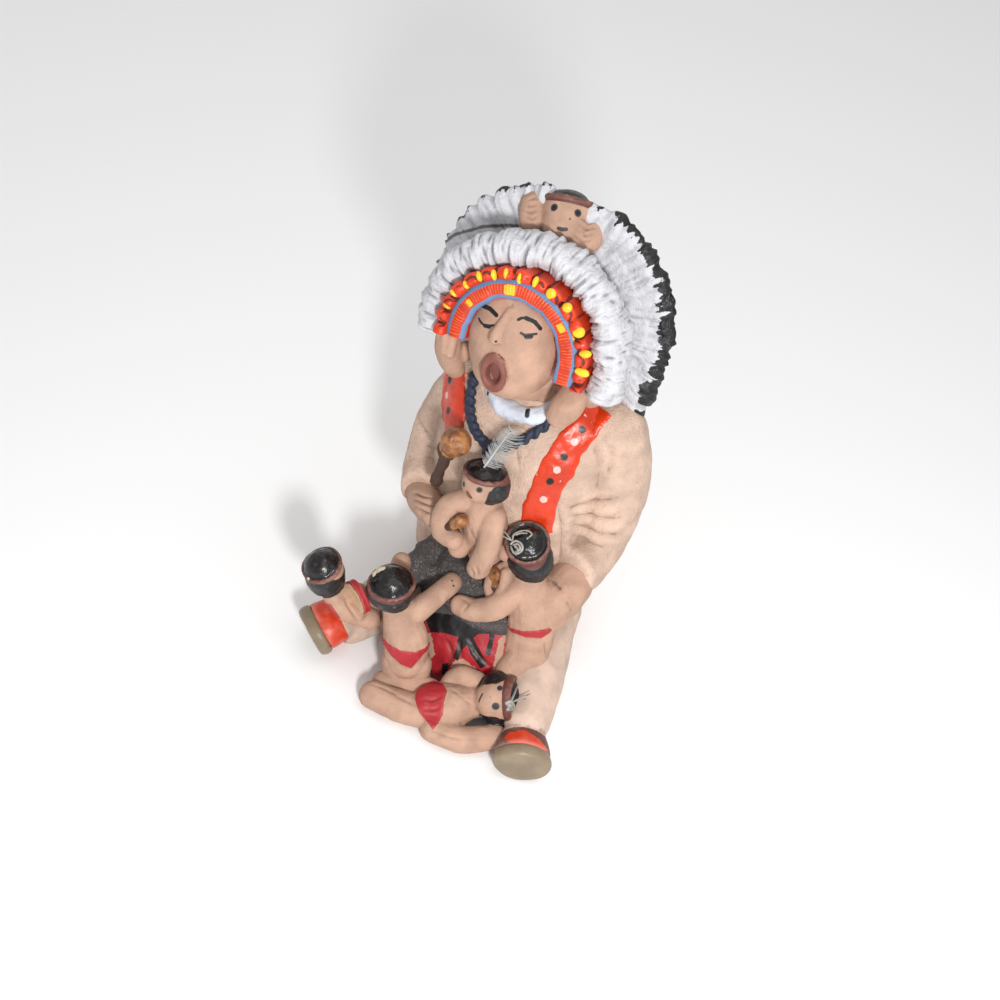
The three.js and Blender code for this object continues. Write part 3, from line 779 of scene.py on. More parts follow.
# The red apron below it, with its painted signs and worn places outlined in pixels
apron = {
    "sections": [(0, 9, -56, 20.5, 9), (10, 8.5, -54.5, 20.5, 9), (20, 7.5, -50.5, 20, 9),
                 (28, 6, -46, 19, 9), (32, 5, -43, 16, 8)],
    "voxel": 0.58,
    "soften": 4,
    "swells": [(8, 0.6), (3, 0.3), (1.4, 0.1)],
    "seed": 21,
    "creases": [
        ([(446, 640), (452, 655), (445, 672)], 0.8, 0.7),
        ([(470, 640), (478, 655), (492, 668)], 0.8, 0.7),
        ([(459, 640), (462, 660)], 0.8, 0.7),
    ],
    "paint": {
        "wool": [[(415, 570), (520, 570), (508, 617), (480, 618), (455, 615), (424, 611)]],
        "ink": [
            [(422, 608), (450, 612), (475, 614), (506, 612), (500, 622), (494, 633), (478, 634), (470, 641),
             (462, 650), (458, 661), (453, 658), (457, 645), (458, 637), (444, 633), (430, 632)],
            [(464, 634), (471, 634), (487, 664), (481, 669), (470, 654)],
            [(490, 622), (497, 624), (490, 656), (485, 654), (489, 640)],
            [(442, 664), (449, 663), (447, 676), (442, 676)],
        ],
        "bare": [
            [(424, 634), (431, 633), (435, 655), (428, 662)],
            [(499, 640), (506, 632), (502, 668), (492, 672)],
            [(452, 662), (462, 658), (476, 668), (482, 678), (448, 682)],
        ],
    },
}
bm = bmesh.new()
addStack(bm, apron["sections"])
apronPiece = modelled("apron", bm, apron)
groundedWithHollows(apronPiece)
for field, outlines in apron["paint"].items():
    mark(apronPiece, **{field: np.min([patch(apronPiece, outline) for outline in outlines], axis=0)})
finished(apronPiece, paintedClay("apron_paint", palette["red"], [
    ("bare", palette["skin"], 0.9, 1.6),
    ("ink", palette["hair"], 0.35, 0.6),
    ("wool", shade(palette["blanket"], 0.7), 0.8, 1.5),
], roughness=0.5, specks=0.4))
print("body made")


# The head, with its ear lobes shaped like closed hands
head = {
    "place": ((-10.5, -11.5, 138.5), 18, -6),
    "skull": (18, 19, 23),
    "balls": [  # centre and half sizes in the head's own frame
        ((0.4, -5.4, -9.2), (14.2, 11.8, 12.6)),
        ((0.8, -17.8, 4.4), (3.2, 2.0, 3.2)),
        ((-3.6, -18.6, 3.2), (1.5, 1.5, 1.4)),
    ],
    "limbs": [
        [(-0.2, -14.8, 14, 1.2), (-1.0, -17.3, 9.6, 1.7), (-1.9, -19.2, 5.4, 2.3), (-2.1, -19.6, 3.9, 2.2)],
        [(1.0, -15.0, 11, 1.4), (1.4, -16.6, 7.4, 2.4), (1.6, -17.2, 4.6, 2.8)],
    ],
    "mouth": {"centre": (-0.5, -17.9, -9.4), "pitch": -16, "major": 3.9, "minor": 1.35, "tall": 1.6,
              "deep": 0.9},
    "frown": 0.35,  # the depth of the crease between the brows
    # brows, closed lids, lashes and nostril: pixels of the photograph and the width of the brush
    "brows": [
        ([(477.6, 308), (480.5, 306.2), (483.6, 306)], 1.0),
        ([(483.6, 306), (490, 308.6), (496.4, 315.2)], 1.6),
        ([(518.4, 319.6), (522, 317.8), (527, 318.1)], 1.0), ([(526, 318), (535, 322), (540.6, 328.6)], 1.5),
    ],
    "lids": [
        ([(478.8, 318.2), (480.5, 321.6), (483.6, 324.6), (488, 326), (493.6, 325.2)], 0.85),
        ([(520.8, 332.8), (524.4, 335), (529, 334.6), (536.6, 333.8)], 0.85),
        ([(495.6, 341.6), (496.4, 341.6)], 0.9),
    ],
    "lashes": [([(485, 325.6), (489.5, 326.6)], 1.5), ([(526.5, 336.6), (531, 336.2)], 1.7)],
    # lobes like closed hands, their fingers and the ears, in the figure's own frame
    "lobes": [
        [(-35, -16, 132.5, 4.3), (-34.6, -17.6, 126.5, 4.9), (-32.6, -17, 119.5, 4.7),
         (-31, -15.5, 115, 3.8)],
        [(16, -15.4, 128.4, 5.6), (15, -18.6, 123, 6), (13.2, -18.6, 118, 5.3)],
        [(-37.8, -17.6, 134.5, 1.9), (-36.8, -20, 126, 1.7)],
        [(-35, -19.4, 135, 1.9), (-34.2, -21.4, 126.5, 1.7)],
        [(-32.2, -19.8, 133.5, 1.9), (-31.8, -21.4, 126, 1.7)],
    ],
    "ears": [((21, -12, 127), (4.6, 4, 5.6)), ((-28.6, -13.6, 123), (2.8, 3.2, 4.8))],
    "voxel": 0.46,
    "soften": 4,
    "swells": [(8, 0.3), (3, 0.1)],
    "seed": 31,
    "lobeCrease": ([(550, 392), (553, 386), (560, 382), (571, 386), (583, 390)], 0.9, 0.9),
}
headPlace = place(*head["place"])
bm = bmesh.new()
addBall(bm, (0, 0, 0), head["skull"], into=headPlace, detail=5)
for centre, half in head["balls"]:
    addBall(bm, centre, half, into=headPlace)
for stations in head["limbs"]:
    addLimb(bm, stations, into=headPlace)
mouth = head["mouth"]
mouthPlace = headPlace @ place(mouth["centre"], mouth["pitch"])
upright = Matrix.Diagonal((1, 1, mouth["tall"], 1)) @ Matrix.Rotation(math.radians(90), 4, "X")
addRing(bm, mouthPlace @ upright, mouth["major"], mouth["minor"])
for stations in head["lobes"]:
    addLimb(bm, stations)
for centre, half in head["ears"]:
    addBall(bm, centre, half)
headPiece = moulded(pieceFrom("head", bm), head["voxel"], head["soften"])
points = spots(headPiece)
inMouth = local(points, mouthPlace)
hole = mouth["major"] - 0.9
opening = np.hypot(inMouth[:, 0] / hole, inMouth[:, 2] / hole / mouth["tall"])
front = (inMouth[:, 1] < 6) * smoothly(1.05, 0.55, opening)
inward = np.array(mouthPlace.to_3x3() @ Vector((0, 1, 0)))
moveTo(headPiece, points + np.outer(front * mouth["deep"], inward))
swelled(headPiece, head["swells"], head["seed"])
creased(headPiece, [head["lobeCrease"]])
faceAt = local(spots(headPiece), headPlace)
between = np.exp(-((faceAt[:, 0] + 0.2) / 0.7) ** 2 - ((faceAt[:, 2] - 15) / 1.8) ** 2) * (faceAt[:, 1] < -6)
swell(headPiece, -head["frown"] * between)
creased(headPiece, [(pixels, 0.6, 0.35) for pixels, _ in head["lids"]])
groundedWithHollows(headPiece)
outer = np.hypot(inMouth[:, 0], inMouth[:, 2] / mouth["tall"]) - mouth["major"] - mouth["minor"] * 0.95
mark(
    headPiece,
    brow=np.min([stroke(headPiece, *line) for line in head["brows"]], axis=0),
    lid=np.min([stroke(headPiece, *line) for line in head["lids"] + head["lashes"]], axis=0),
    lips=outer + 100 * (inMouth[:, 1] > 3) * (front < 0.02),
    throat=(opening - 0.78) * 3 + 100 * (inMouth[:, 1] > 12),
)
finished(headPiece, paintedClay("face_paint", palette["skin"], [
    ("brow", palette["hair"], 0.4, 0.35),
    ("lid", palette["hair"], 0.4, 0.2),
    ("lips", palette["mouth"], 0.5, 0.3),
    ("throat", palette["throat"], 0.35, 0.2),
], grain=0.09, specks=0.6))


# The bonnet: beaded band, rosettes and roll about one centre in the head's frame, the fan behind
bonnet = {
    "centre": (1.6, 0, -0.5),
    "rollCentre": (2.5, 0, -1),
    "band": [(17.2, -9.0), (17.4, -11.2), (18.6, -12.4), (21.2, -12.8), (23.8, -12.2), (25.2, -10.6),
             (25, -4), (17.2, -4)],
    "bandEnds": (-19, 188),
    "bandStraight": 22,  # below its centre the arch goes on straight down: millimetres for each radian
    "bandRise": 1.8,  # how much further forward the band stands over the forehead than at its ends
    "threads": 120,  # ripples for each radian round the band
    # yellow blocks and a smear on the band: degrees round the arch, reach, width and height
    "blocks": [(100, 21.2, 4.0, 3.6), (147, 21, 2.0, 2.6), (38, 21.6, 3.0, 2.4)],
    "smear": (28, 25, 5, 1.8),
    "rosettes": [(24.6, -8), (24.8, -11.2), (26.2, -12.6), (28.2, -12.2), (29.8, -10), (30, -4), (24.6, -4)],
    "petals": 15,
    # degrees round the arch, half length outward and half width
    "ovals": [
        (1, 2.4, 1.2), (15, 2.1, 1.1), (31, 2.1, 1.5), (50, 1.8, 1.4), (65, 1.8, 1.5), (79, 1.9, 0.9),
        (91, 1.8, 0.8), (102, 1.7, 0.75), (112, 1.8, 0.8), (124, 1.7, 0.8), (137, 1.5, 0.8), (150, 1.5, 0.8),
        (162, 1.5, 0.75),
    ],
    "ovalReach": 26.8,
    "roll": [(28.6, -3), (29, -7.6), (31.2, -10.2), (34.5, -11), (38, -9.4), (40.2, -5.4), (40.4, -0.5),
             (38.5, 4), (34, 6), (29, 4)],
    "rollMiddle": (34.4, -2.2),
    "rollEnds": (-20, 191),
    "rollStraight": 35,
    # the dark line where the fan meets the roll, partly dirt in the crevice and partly painted shadow,
    # outlined in pixels
    "crevice": [(439, 262), (440, 247), (456, 236), (484, 228), (508, 227), (524, 228), (524, 225),
                (508, 223.6), (484, 224.8), (454, 233), (437, 245), (437, 260)],
    "fanPlace": ((-7, 11, 138), 9, -4),
    "fanOutline": [(0, -0.5), (0.5, -0.5), (0.8, -0.46), (0.94, -0.36), (1, 0), (0.96, 0.34), (0.84, 0.46),
                   (0, 0.5)],  # as shares of its radius and depth
    "fanRadius": 47.3,
    "fanDepth": 7,
    "fanFlare": 0.12,  # how much wider it is at its two lower ends
    "fanNotch": 3.2,  # how much lower its rim is where the top child looks over it
    # tufts: from and to which reach, how many round the fan, and how high
    "fanRows": [(24, 38, 13, 1.1), (33, 46.5, 17, 1.0), (40, 52, 22, 0.6)],
    "rollRows": [(0, 64, 30, 0.9), (20, 42, 34, 1.2)],
}
bandPlace = headPlace @ Matrix.Translation(bonnet["centre"])


def tufts(angle, reach, rows, seed):
    # overlapping rows of rounded tufts, the inner rows on top
    random = np.random.default_rng(seed)
    height = np.zeros(len(angle))
    for row, (inner, outer, count, rise) in enumerate(rows):
        lean = 0.35 * lumps(np.stack([angle * 30, reach, reach * 0], 1), 9, seed + row)
        turned = angle / (2 * math.pi) * count + 0.5 * (row % 2) + lean
        cell = np.floor(turned).astype(int)
        across = 2 * (turned - cell) - 1
        long = random.uniform(-0.16, 0.1, count + 3)[cell % count]
        tip = outer + (outer - inner) * (long - 0.22 * across ** 2)
        layer = rise * (len(rows) - row)
        dome = rise * np.sqrt(np.clip(1 - across ** 2, 0, 1)) * smoothly(inner - 3, outer, reach)
        height = np.maximum(height, smoothly(-0.3, 1.4, tip - reach) * (layer * 0.55 + dome))
    return height


def strands(angle, reach, wide, long, seed):
    # brush strokes that run outward
    return lumps(np.stack([angle * 38 / wide, reach / long, 0 * reach], 1), 1, seed)


def roundArch(piece):
    # where each vertex is round, out and back, how far to the front, and how far forward the band stands
    angle, reach, depth = polar(spots(piece))
    onFront = smoothly(-5, -8, depth)
    return angle, reach, depth, onFront, bonnet["bandRise"] * np.clip(np.sin(angle), 0, 1) * onFront


bm = bmesh.new()
addArch(bm, closed(bonnet["band"], 0.5), *bonnet["bandEnds"], 240)
band = pieceFrom("headband", bm)
angle, reach, depth, onFront, lift = roundArch(band)
hatch = np.sin(angle * bonnet["threads"] + strands(angle, reach, 4, 9, 6))
hatch = hatch * smoothly(18.5, 20, reach) * smoothly(24.6, 23, reach)
relief = 0.16 * hatch + 0.25 * lumps(spots(band), 3, 8)
moveTo(band, fromPolar(angle, reach + 0.3 * strands(angle, reach, 5, 9, 3), depth - lift - onFront * relief,
                       bonnet["bandStraight"]))
wave = 0.35 * lumps(spots(band), 6, 5)


def beadBlock(degrees, at, wide, tall):
    # how far outside a block of colour on the band each vertex is
    across = (angle - math.radians(degrees)) * at
    return np.maximum(abs(across) - wide / 2, abs(reach - at) - tall / 2)


mark(
    band,
    hollow=hollows(band),
    blue=np.minimum(abs(reach - 18.3 + wave) - 0.8, abs(reach - 24.4 - 0.7 * wave) - 1.15),
    thread=0.35 - 0.5 * hatch * onFront,
    patch=np.min([beadBlock(*block) for block in bonnet["blocks"]], axis=0),
    smear=beadBlock(*bonnet["smear"]),
)
band.data.transform(bandPlace)
finished(band, paintedClay("headband_paint", palette["orange"], [
    ("thread", rgb(246, 128, 46), 0.35, 0.5),
    ("blue", palette["blue"], 0.5, 0.5),
    ("patch", palette["yellow"], 0.3, 0.5),
    ("smear", rgb(190, 176, 70), 0.4, 0.8),
], roughness=0.4, grain=0.05, soilAndShade=0.35))

bm = bmesh.new()
addArch(bm, closed(bonnet["rosettes"], 0.45), *bonnet["bandEnds"], 300)
rosettes = pieceFrom("rosettes", bm)
angle, reach, depth, onFront, lift = roundArch(rosettes)
petal = angle / math.radians(207) * bonnet["petals"] + 0.22 * strands(angle, reach, 6, 20, 2)
across = petal - np.floor(petal) - 0.5
beside = np.abs(across)  # 0 in the middle of a petal, 0.5 between two
bulge = np.sqrt(np.clip(1 - (beside / 0.5) ** 2, 0, 1)) * smoothly(30.4, 28.4, reach - 0.6 * (0.5 - beside))
arc = np.abs(np.hypot(across * 6.2, (reach - 25.4) * 0.9) - 2.3)
gouge = np.maximum(np.exp(-(arc / 0.36) ** 2), 1.4 * np.exp(-((beside - 0.5) / 0.09) ** 2))
broken = lumps(np.stack([angle * 27, reach, 0 * reach], 1), 2.2, 71) + 0.2
gouge = gouge * smoothly(-0.3, 0.25, broken) * onFront
relief = 2.3 * bulge - 0.9 * gouge + 0.3 * lumps(spots(rosettes), 1.6, 72)
moveTo(rosettes, fromPolar(angle, reach + 2.2 * (bulge - 0.7) * smoothly(27, 30, reach),
                           depth - lift - onFront * relief, bonnet["bandStraight"]))
mark(rosettes, gouge=(0.5 - gouge) * 1.2, hollow=hollows(rosettes))
rosettes.data.transform(bandPlace)
finished(rosettes, paintedClay("rosette_paint", palette["orange"], [
    ("gouge", palette["gouge"], 0.5, 1.3),
], roughness=0.35, grain=0.06, soilAndShade=0.5))

bm = bmesh.new()
for number, (degrees, tall, wide) in enumerate(bonnet["ovals"]):
    turn = math.radians(degrees)
    out = bonnet["ovalReach"] + (0.4 if number % 2 else -0.2) + 1.5 * max(0, math.cos(turn))
    forward = -14.0 - bonnet["bandRise"] * max(0, math.sin(turn))
    spot = Matrix.Translation((math.cos(max(0, turn)) * out, forward, math.sin(turn) * out))
    into = bandPlace @ spot @ Matrix.Rotation(-turn, 4, "Y")
    addBall(bm, (0, 0, 0), (tall * 1.1, 1.3, wide * 1.25), into=into, detail=3)
ovals = pieceFrom("ovals", bm)
swelled(ovals, [(2, 0.2)], 5)
mark(ovals, hollow=np.zeros(len(ovals.data.vertices)))
finished(ovals, paintedClay("oval_paint", palette["yellow"], roughness=0.22, grain=0.02, specks=0.1))

bm = bmesh.new()
addArch(bm, closed(bonnet["roll"], 0.62), *bonnet["rollEnds"], 300)
roll = pieceFrom("roll", bm)
points = spots(roll)
angle, reach, depth = polar(points)
start, end = (math.radians(value) for value in bonnet["rollEnds"])
rounded = np.sqrt(np.clip(1 - (1 - np.minimum(angle - start, end - angle) / 0.22).clip(0, 1) ** 2, 0, 1))
middle, level = bonnet["rollMiddle"]
around = np.arctan2(depth - level, reach - middle)
blobs = tufts(angle, 10 * (around + 3.2), bonnet["rollRows"], 41)
strand = strands(angle, reach + depth, 0.75, 5, 12)
ridge = strands(angle, reach + depth, 1.7, 11, 15)
right = smoothly(1.5, 0.8, angle)  # brushed ridges at the left, dabs of paint at the right
dabs = lumps(points, 3.4, 14) * (0.4 + 0.5 * right)
ridge = (1.0 - 0.5 * right) * ridge
puff = 0.9 * lumps(points, 8, 13) + 0.9 * dabs + 0.45 * strand + ridge + 0.3 * blobs - 0.5
fat = (1 + puff / 6) * (0.35 + 0.65 * rounded)
moveTo(roll, fromPolar(angle, middle + (reach - middle) * fat, level + (depth - level) * fat,
                       bonnet["rollStraight"]))
mark(roll, hollow=hollows(roll, 6), black=nearest(roll, []), crevice=nearest(roll, []))
roll.data.transform(headPlace @ Matrix.Translation(bonnet["rollCentre"]))


def featherPaint(name, valleyShade):
    # thick white brush strokes, blue-grey painted shade in the valleys, a dark line of dirt and painted
    # shadow along the crevice, and black where the field is below zero
    paint = Paint(name)
    low = paint.edge(paint.read("hollow") + (paint.noise(1.2, 3) - 0.5) * 0.2, -0.02, 0.36)
    colour = paint.mix(paint.noise(4, 4), palette["feathers"], shade(palette["feathers"], 0.86))
    # blue-grey painted shade in the valleys between the strokes
    colour = paint.mix(low * valleyShade, colour, palette["valley"])
    # the dark crevice line: partly dirt, partly painted shadow
    creviceDirtAndShade = paint.edge(paint.read("crevice") + (paint.noise(2, 3) - 0.5) * 1.1, 0.3, -0.3)
    colour = paint.mix(creviceDirtAndShade * 0.8, colour, palette["bark"])
    black = paint.edge(paint.read("black") + (paint.noise(0.8, 4) - 0.5) * 2.6, 0.25, -0.25)
    colour = paint.mix(black, colour, palette["hair"])
    shine = 0.55 + black * -0.2
    return paint.made(colour, shine, paint.noise(0.6, 3) * 0.25 + paint.noise(1.6, 3) * 0.7)


bm = bmesh.new()
outline = [(reach * bonnet["fanRadius"], depth * bonnet["fanDepth"]) for reach, depth in bonnet["fanOutline"]]
addLathe(bm, [tuple(row) for row in along(outline, 16)], Matrix(), steps=390)
fan = pieceFrom("fan", bm)
points = spots(fan)
angle, reach, depth = polar(points)
turn = np.degrees(angle)
low = np.minimum(abs(turn + 38), abs(turn - 218)) / 30
flare = 1 + bonnet["fanFlare"] * np.clip(1 - low, 0, 1) * (turn > -38) * (turn < 218)
height = tufts(angle, reach, bonnet["fanRows"], 51)
strand = strands(angle, reach, 0.8, 7, 22)
rim = smoothly(0.8, 0.97, reach / bonnet["fanRadius"])
lobes = np.abs(np.sin(angle * 17 + 1.2 * strands(angle, reach, 9, 60, 23)))
notch = bonnet["fanNotch"] * smoothly(103, 97, turn) * smoothly(72, 80, turn)
ragged = (1.2 * (lobes - 0.7) + 0.9 * strands(angle, reach, 1.2, 60, 24) - notch) * rim
front = smoothly(0.2, -0.5, depth / bonnet["fanDepth"])
turning = angle + 0.05 * lumps(points, 7, 31)
brushed = 0.8 * strands(turning, reach, 2.6, 12, 28) + 0.6 * strand + 1.1 * lumps(points, 6, 29)
behind = 0.5 * lumps(points, 6, 25) + 0.25 * strand
relief = front * (height * 0.32 + brushed * smoothly(8, 20, reach)) + (1 - front) * behind
relief = relief * np.where(depth < 0, 1, -0.6) * smoothly(2, 12, reach)
moveTo(fan, fromPolar(angle, reach * flare + ragged, depth - relief))
mark(fan, hollow=hollows(fan, 6))
reach = np.hypot(*spots(fan)[:, [0, 2]].T) / flare
fine = strands(angle + 0.02 * lumps(points, 3, 33), reach, 0.7, 9, 26)
streak = 4.5 * np.sign(fine) * np.abs(fine) ** 2 + 1.6 * strands(angle, reach, 2.6, 16, 27)
streak = streak + 1.5 * lumps(points, 2.4, 30)
inked = 0.5 + 2.1 * smoothly(95, 72, turn) + 2.3 * smoothly(52, 22, turn) * smoothly(-60, -34, turn)
tips = bonnet["fanRadius"] + 0.6 - inked + streak * (0.3 + inked * 0.17) - reach + 1.2 * (depth > 0)
fan.data.transform(place(*bonnet["fanPlace"]))
mark(fan, black=tips, crevice=patch(fan, bonnet["crevice"]))
finished(fan, featherPaint("fan_paint", 0.35))
finished(roll, featherPaint("roll_paint", 0.7))
print("bonnet made")


# The six children. A head is a skull with a bob of hair, a raised band round it and a dome inside the band.
children = {
    "topChild": {
        "head": ((-10.9, 15.2, 174), 10.1, (0.15, -0.72, 0.66), (-0.2, 0.64, 0.72)),
        "bandAt": 0.56,
        "bob": "none",
        "limbs": [
            [(-12, 20.4, 168, 6), (-12, 20.4, 150, 6.8), (-11.5, 19.8, 139, 7), (-11.5, 19.4, 131, 6)],
            [(-13, 19, 136, 5.6), (-20, 17.6, 129, 5), (-25.4, 14.4, 120, 4.4)],
            [(-10, 19, 136, 5.6), (-3, 17.6, 129, 5), (2.4, 14.4, 120, 4.4)],
            [(-19, 21, 166, 4.6), (-23.6, 18, 172, 5.4), (-23, 13.5, 174, 5.4), (-21, 10, 171.6, 4.8)],
            [(-6, 21, 166, 4.6), (-0.5, 17, 171, 5), (-0.2, 12.6, 172.4, 5.2), (-2.6, 9, 168.6, 4.8)],
        ],
        "fingers": [
            [(522, 197), (530, 199), (538, 197)], [(520, 203), (529, 206), (537, 204)],
            [(521, 210), (530, 213), (538, 210)], [(524, 217), (532, 219), (538, 216)],
            [(578, 224), (587, 229), (595, 227)], [(576, 230), (585, 236), (594, 234)],
            [(574, 236), (583, 242), (592, 240)], [(580, 218), (590, 222), (598, 220)],
        ],
        "eyes": [((554, 207.4), 2.8), ((578, 213), 2.8)],
        "spots": [((570, 219), 0.7)],
        "mouth": ([(558.5, 228.4), (562, 229.6), (566, 229.4)], 1.4),
    },
    "lapChild": {
        "head": ((-3.8, -38.6, 90.6), 8.3, (-0.49, -0.854, 0.17), (-0.054, 0.225, 0.974)),
        "bandAt": 0.42,
        "dome": 0.66,
        "bob": "aside",
        "limbs": [
            [(2.4, -36, 54, 8), (0.4, -37, 65, 9), (-1.4, -38, 76, 7.6), (-2, -39, 84, 4.8)],
            [(-7, -39, 79.4, 4.8), (-13.4, -42, 73, 5), (-13.4, -46, 65, 4.8), (-7.5, -48.5, 64.4, 3.8)],
            [(4, -41, 77, 4.8), (5.6, -45.6, 67, 4.7), (5.2, -48, 60, 4.7), (4.6, -48.4, 56, 4.8)],
            [(-6, -39, 60, 5.4), (-6, -44, 57, 4.6)],
        ],
        "fingers": [
            [(470, 530), (476, 542), (478, 556)], [(456, 512), (462, 518), (468, 524)],
            [(476, 566), (478, 572), (479, 577)], [(470, 568), (473, 573), (473, 577)],
        ],
        "eyes": [((463.6, 484), 2.1), ((479.4, 490), 2.4)],
        "lips": ([(467.6, 493), (470, 497)], 2.1),
    },
    "kneeChild": {
        "head": ((18.1, -36.4, 64.8), 8.7, (-0.639, -0.72, -0.253), (0.015, -0.472, 0.878)),
        "bandAt": 0.5,
        "dome": 0.8,
        "bandThick": 0.2,
        "jaw": [((-0.35, 0.5, -0.42), (0.68, 0.82, 0.6))],
        "bob": "low",
        "limbs": [
            [(31, -47, 22, 9.5), (30, -45, 34, 9.5), (25, -41, 47, 8), (21, -39, 56, 5)],
            [(22, -43, 50, 5), (16, -50, 41, 5), (9, -53, 37, 4.6), (2, -52.5, 35, 4.4)],
            [(33, -50, 24, 8), (30, -57, 17, 6.6)],
            [(26, -40, 50, 4.5), (33, -38, 44, 5)],
            [(14, -40, 55, 2.2), (10, -42.4, 50, 2.2), (9.4, -45, 44.6, 2.2), (13.4, -46.6, 39.4, 2.4)],
            [(14.6, -43.4, 54, 2.2), (15.4, -46.4, 48, 2.2), (14.6, -48.4, 42, 2.4)],
        ],
        "fingers": [[(462, 598), (468, 604), (463, 611)], [(545, 642), (546, 653)]],
        "eyes": [((501.4, 543.6), 1.5)],
        "cloth": [(504, 623), (512, 628), (524, 631), (538, 630), (555, 627), (549, 633), (541, 638),
                  (526, 637), (512, 632)],
    },
    "standingChild": {
        "head": ((-22.5, -65, 43), 8.5, (0.25, 0.95, 0), (-0.12, -0.1, 1)),
        "limbs": [
            [(-9, -72, 15, 8.2), (-12, -70, 25, 8.8), (-19, -67, 36, 5.6)],
            [(-14, -67, 32, 5.4), (-8, -58, 38, 4.6), (-5, -47, 39, 4)],
            [(-20, -64, 31, 4.6), (-25, -56, 34, 4.4), (-27, -48, 38, 4)],
            [(-13, -74, 14, 5.4), (-9, -78, 3, 4.6)],
            [(-4, -71, 13, 5.4), (-3, -74, 4, 4.6)],
        ],
        "fingers": [
            [(406, 668), (405, 680), (403, 694)], [(462, 587), (445, 603), (429, 618)],
            [(455, 589), (460, 592), (463, 590)],
        ],
        "eyes": [((452.4, 580.6), 0.9), ((453.6, 585.6), 1.0)],
        "glue": [((375, 574), 2.6), ((379, 570.6), 3), ((383, 569), 2.4)],
        "cloth": [(380, 632), (388, 643), (400, 650), (414, 652), (424, 648), (431, 640), (427, 650),
                  (420, 658), (411, 668), (401, 664), (391, 655), (384, 645)],
    },
    "shinChild": {
        "head": ((-47.9, -73.3, 45.9), 7.6, (0.95, 0.3, 0.3), (-0.286, -0.3, 0.91)),
        "bob": "long",
        "limbs": [
            [(-36, -66, 22, 5.6), (-40, -69, 27, 5.8), (-45, -72, 37, 4.6)],
            [(-41, -69, 33, 3.6), (-36, -64, 30, 3.4)],
            [(-43, -74, 34, 3.6), (-37.5, -73, 27, 4.1), (-29, -67, 21, 4.3)],
            [(-34, -62, 21, 4.4), (-26, -60, 17, 4.2)],
        ],
        "fingers": [[(345, 600), (352, 612), (358, 622)], [(362, 622), (366, 616), (368, 610)]],
        "glue": [((308.6, 578.6), 1.2)],
        "cloth": [(319, 600), (331, 604), (341, 618), (333, 622), (321, 612)],
    },
    "groundChild": {
        "head": ((31, -70, 14.7), 9.3, (-0.049, -0.737, 0.694), (0.911, 0.251, 0.324)),
        "bandAt": 0.52,
        "dome": 0.8,
        "bandThick": 0.18,
        "bob": "frame",
        "limbs": [
            [(21, -74, 9.4, 6.4), (15, -79, 8.6, 9), (8, -82, 8, 8)],
            [(5, -86, 6.5, 6.4), (-5, -88, 6, 6.2), (-14, -88.2, 5.6, 5.8)],
            [(4, -76, 7, 5.4), (-8, -77, 6, 5.2), (-14, -80, 5, 4.6)],
            [(19, -66, 12, 4.6), (12.5, -67, 12.4, 4.6), (10.6, -71, 10.6, 4)],
            [(36, -80, 5.5, 5), (25, -88.2, 5.4, 5.4), (13, -89.6, 5, 5)],
        ],
        "fingers": [
            [(372, 684), (388, 690), (401, 698), (416, 706)], [(429, 730), (450, 738), (480, 740)],
            [(449, 655), (447, 668), (452, 684)], [(424, 700), (432, 701), (440, 698)],
            [(422, 710), (432, 711), (440, 708)], [(452, 690), (470, 704), (474, 722)],
        ],
        "eyes": [((499.8, 688), 2.3), ((495.6, 706.4), 3)],
        "spots": [((490, 697), 0.7)],
        "mouth": ([(482.2, 694), (480.2, 698), (478.8, 701.6)], 0.9),
        "cloth": [(424, 684), (433, 681), (443, 684), (447, 691), (444, 702), (443, 714), (438, 724),
                  (433, 730), (427, 722), (419, 712), (415, 700), (417, 690)],
    },
}
childClay = {"voxel": 0.49, "soften": 2, "swells": [(7, 0.35), (2.5, 0.14)]}


def headMatrix(centre, radius, facing, crown):
    up = Vector(crown).normalized()
    side = up.cross(Vector(facing)).normalized()
    return Matrix.Translation(centre) @ axesAlong(side, side.cross(up), up) @ Matrix.Scale(radius, 4)


# hair below the band: centre and half sizes as shares of the head's radius
bobs = {
    "long": ((0, -0.16, -0.5), (1.12, 1.02, 1.28)),
    "frame": ((0, -0.2, -0.1), (1.16, 0.95, 0.9)),
    "aside": ((0.2, -0.35, -0.15), (0.95, 0.85, 0.88)),
    "full": ((0, -0.16, -0.12), (1.12, 1.02, 0.78)),
    "low": ((0.42, 0.0, -0.4), (1.08, 1.0, 0.98)),
    "none": ((0, -0.4, 0), (0.8, 0.6, 0.6)),
}


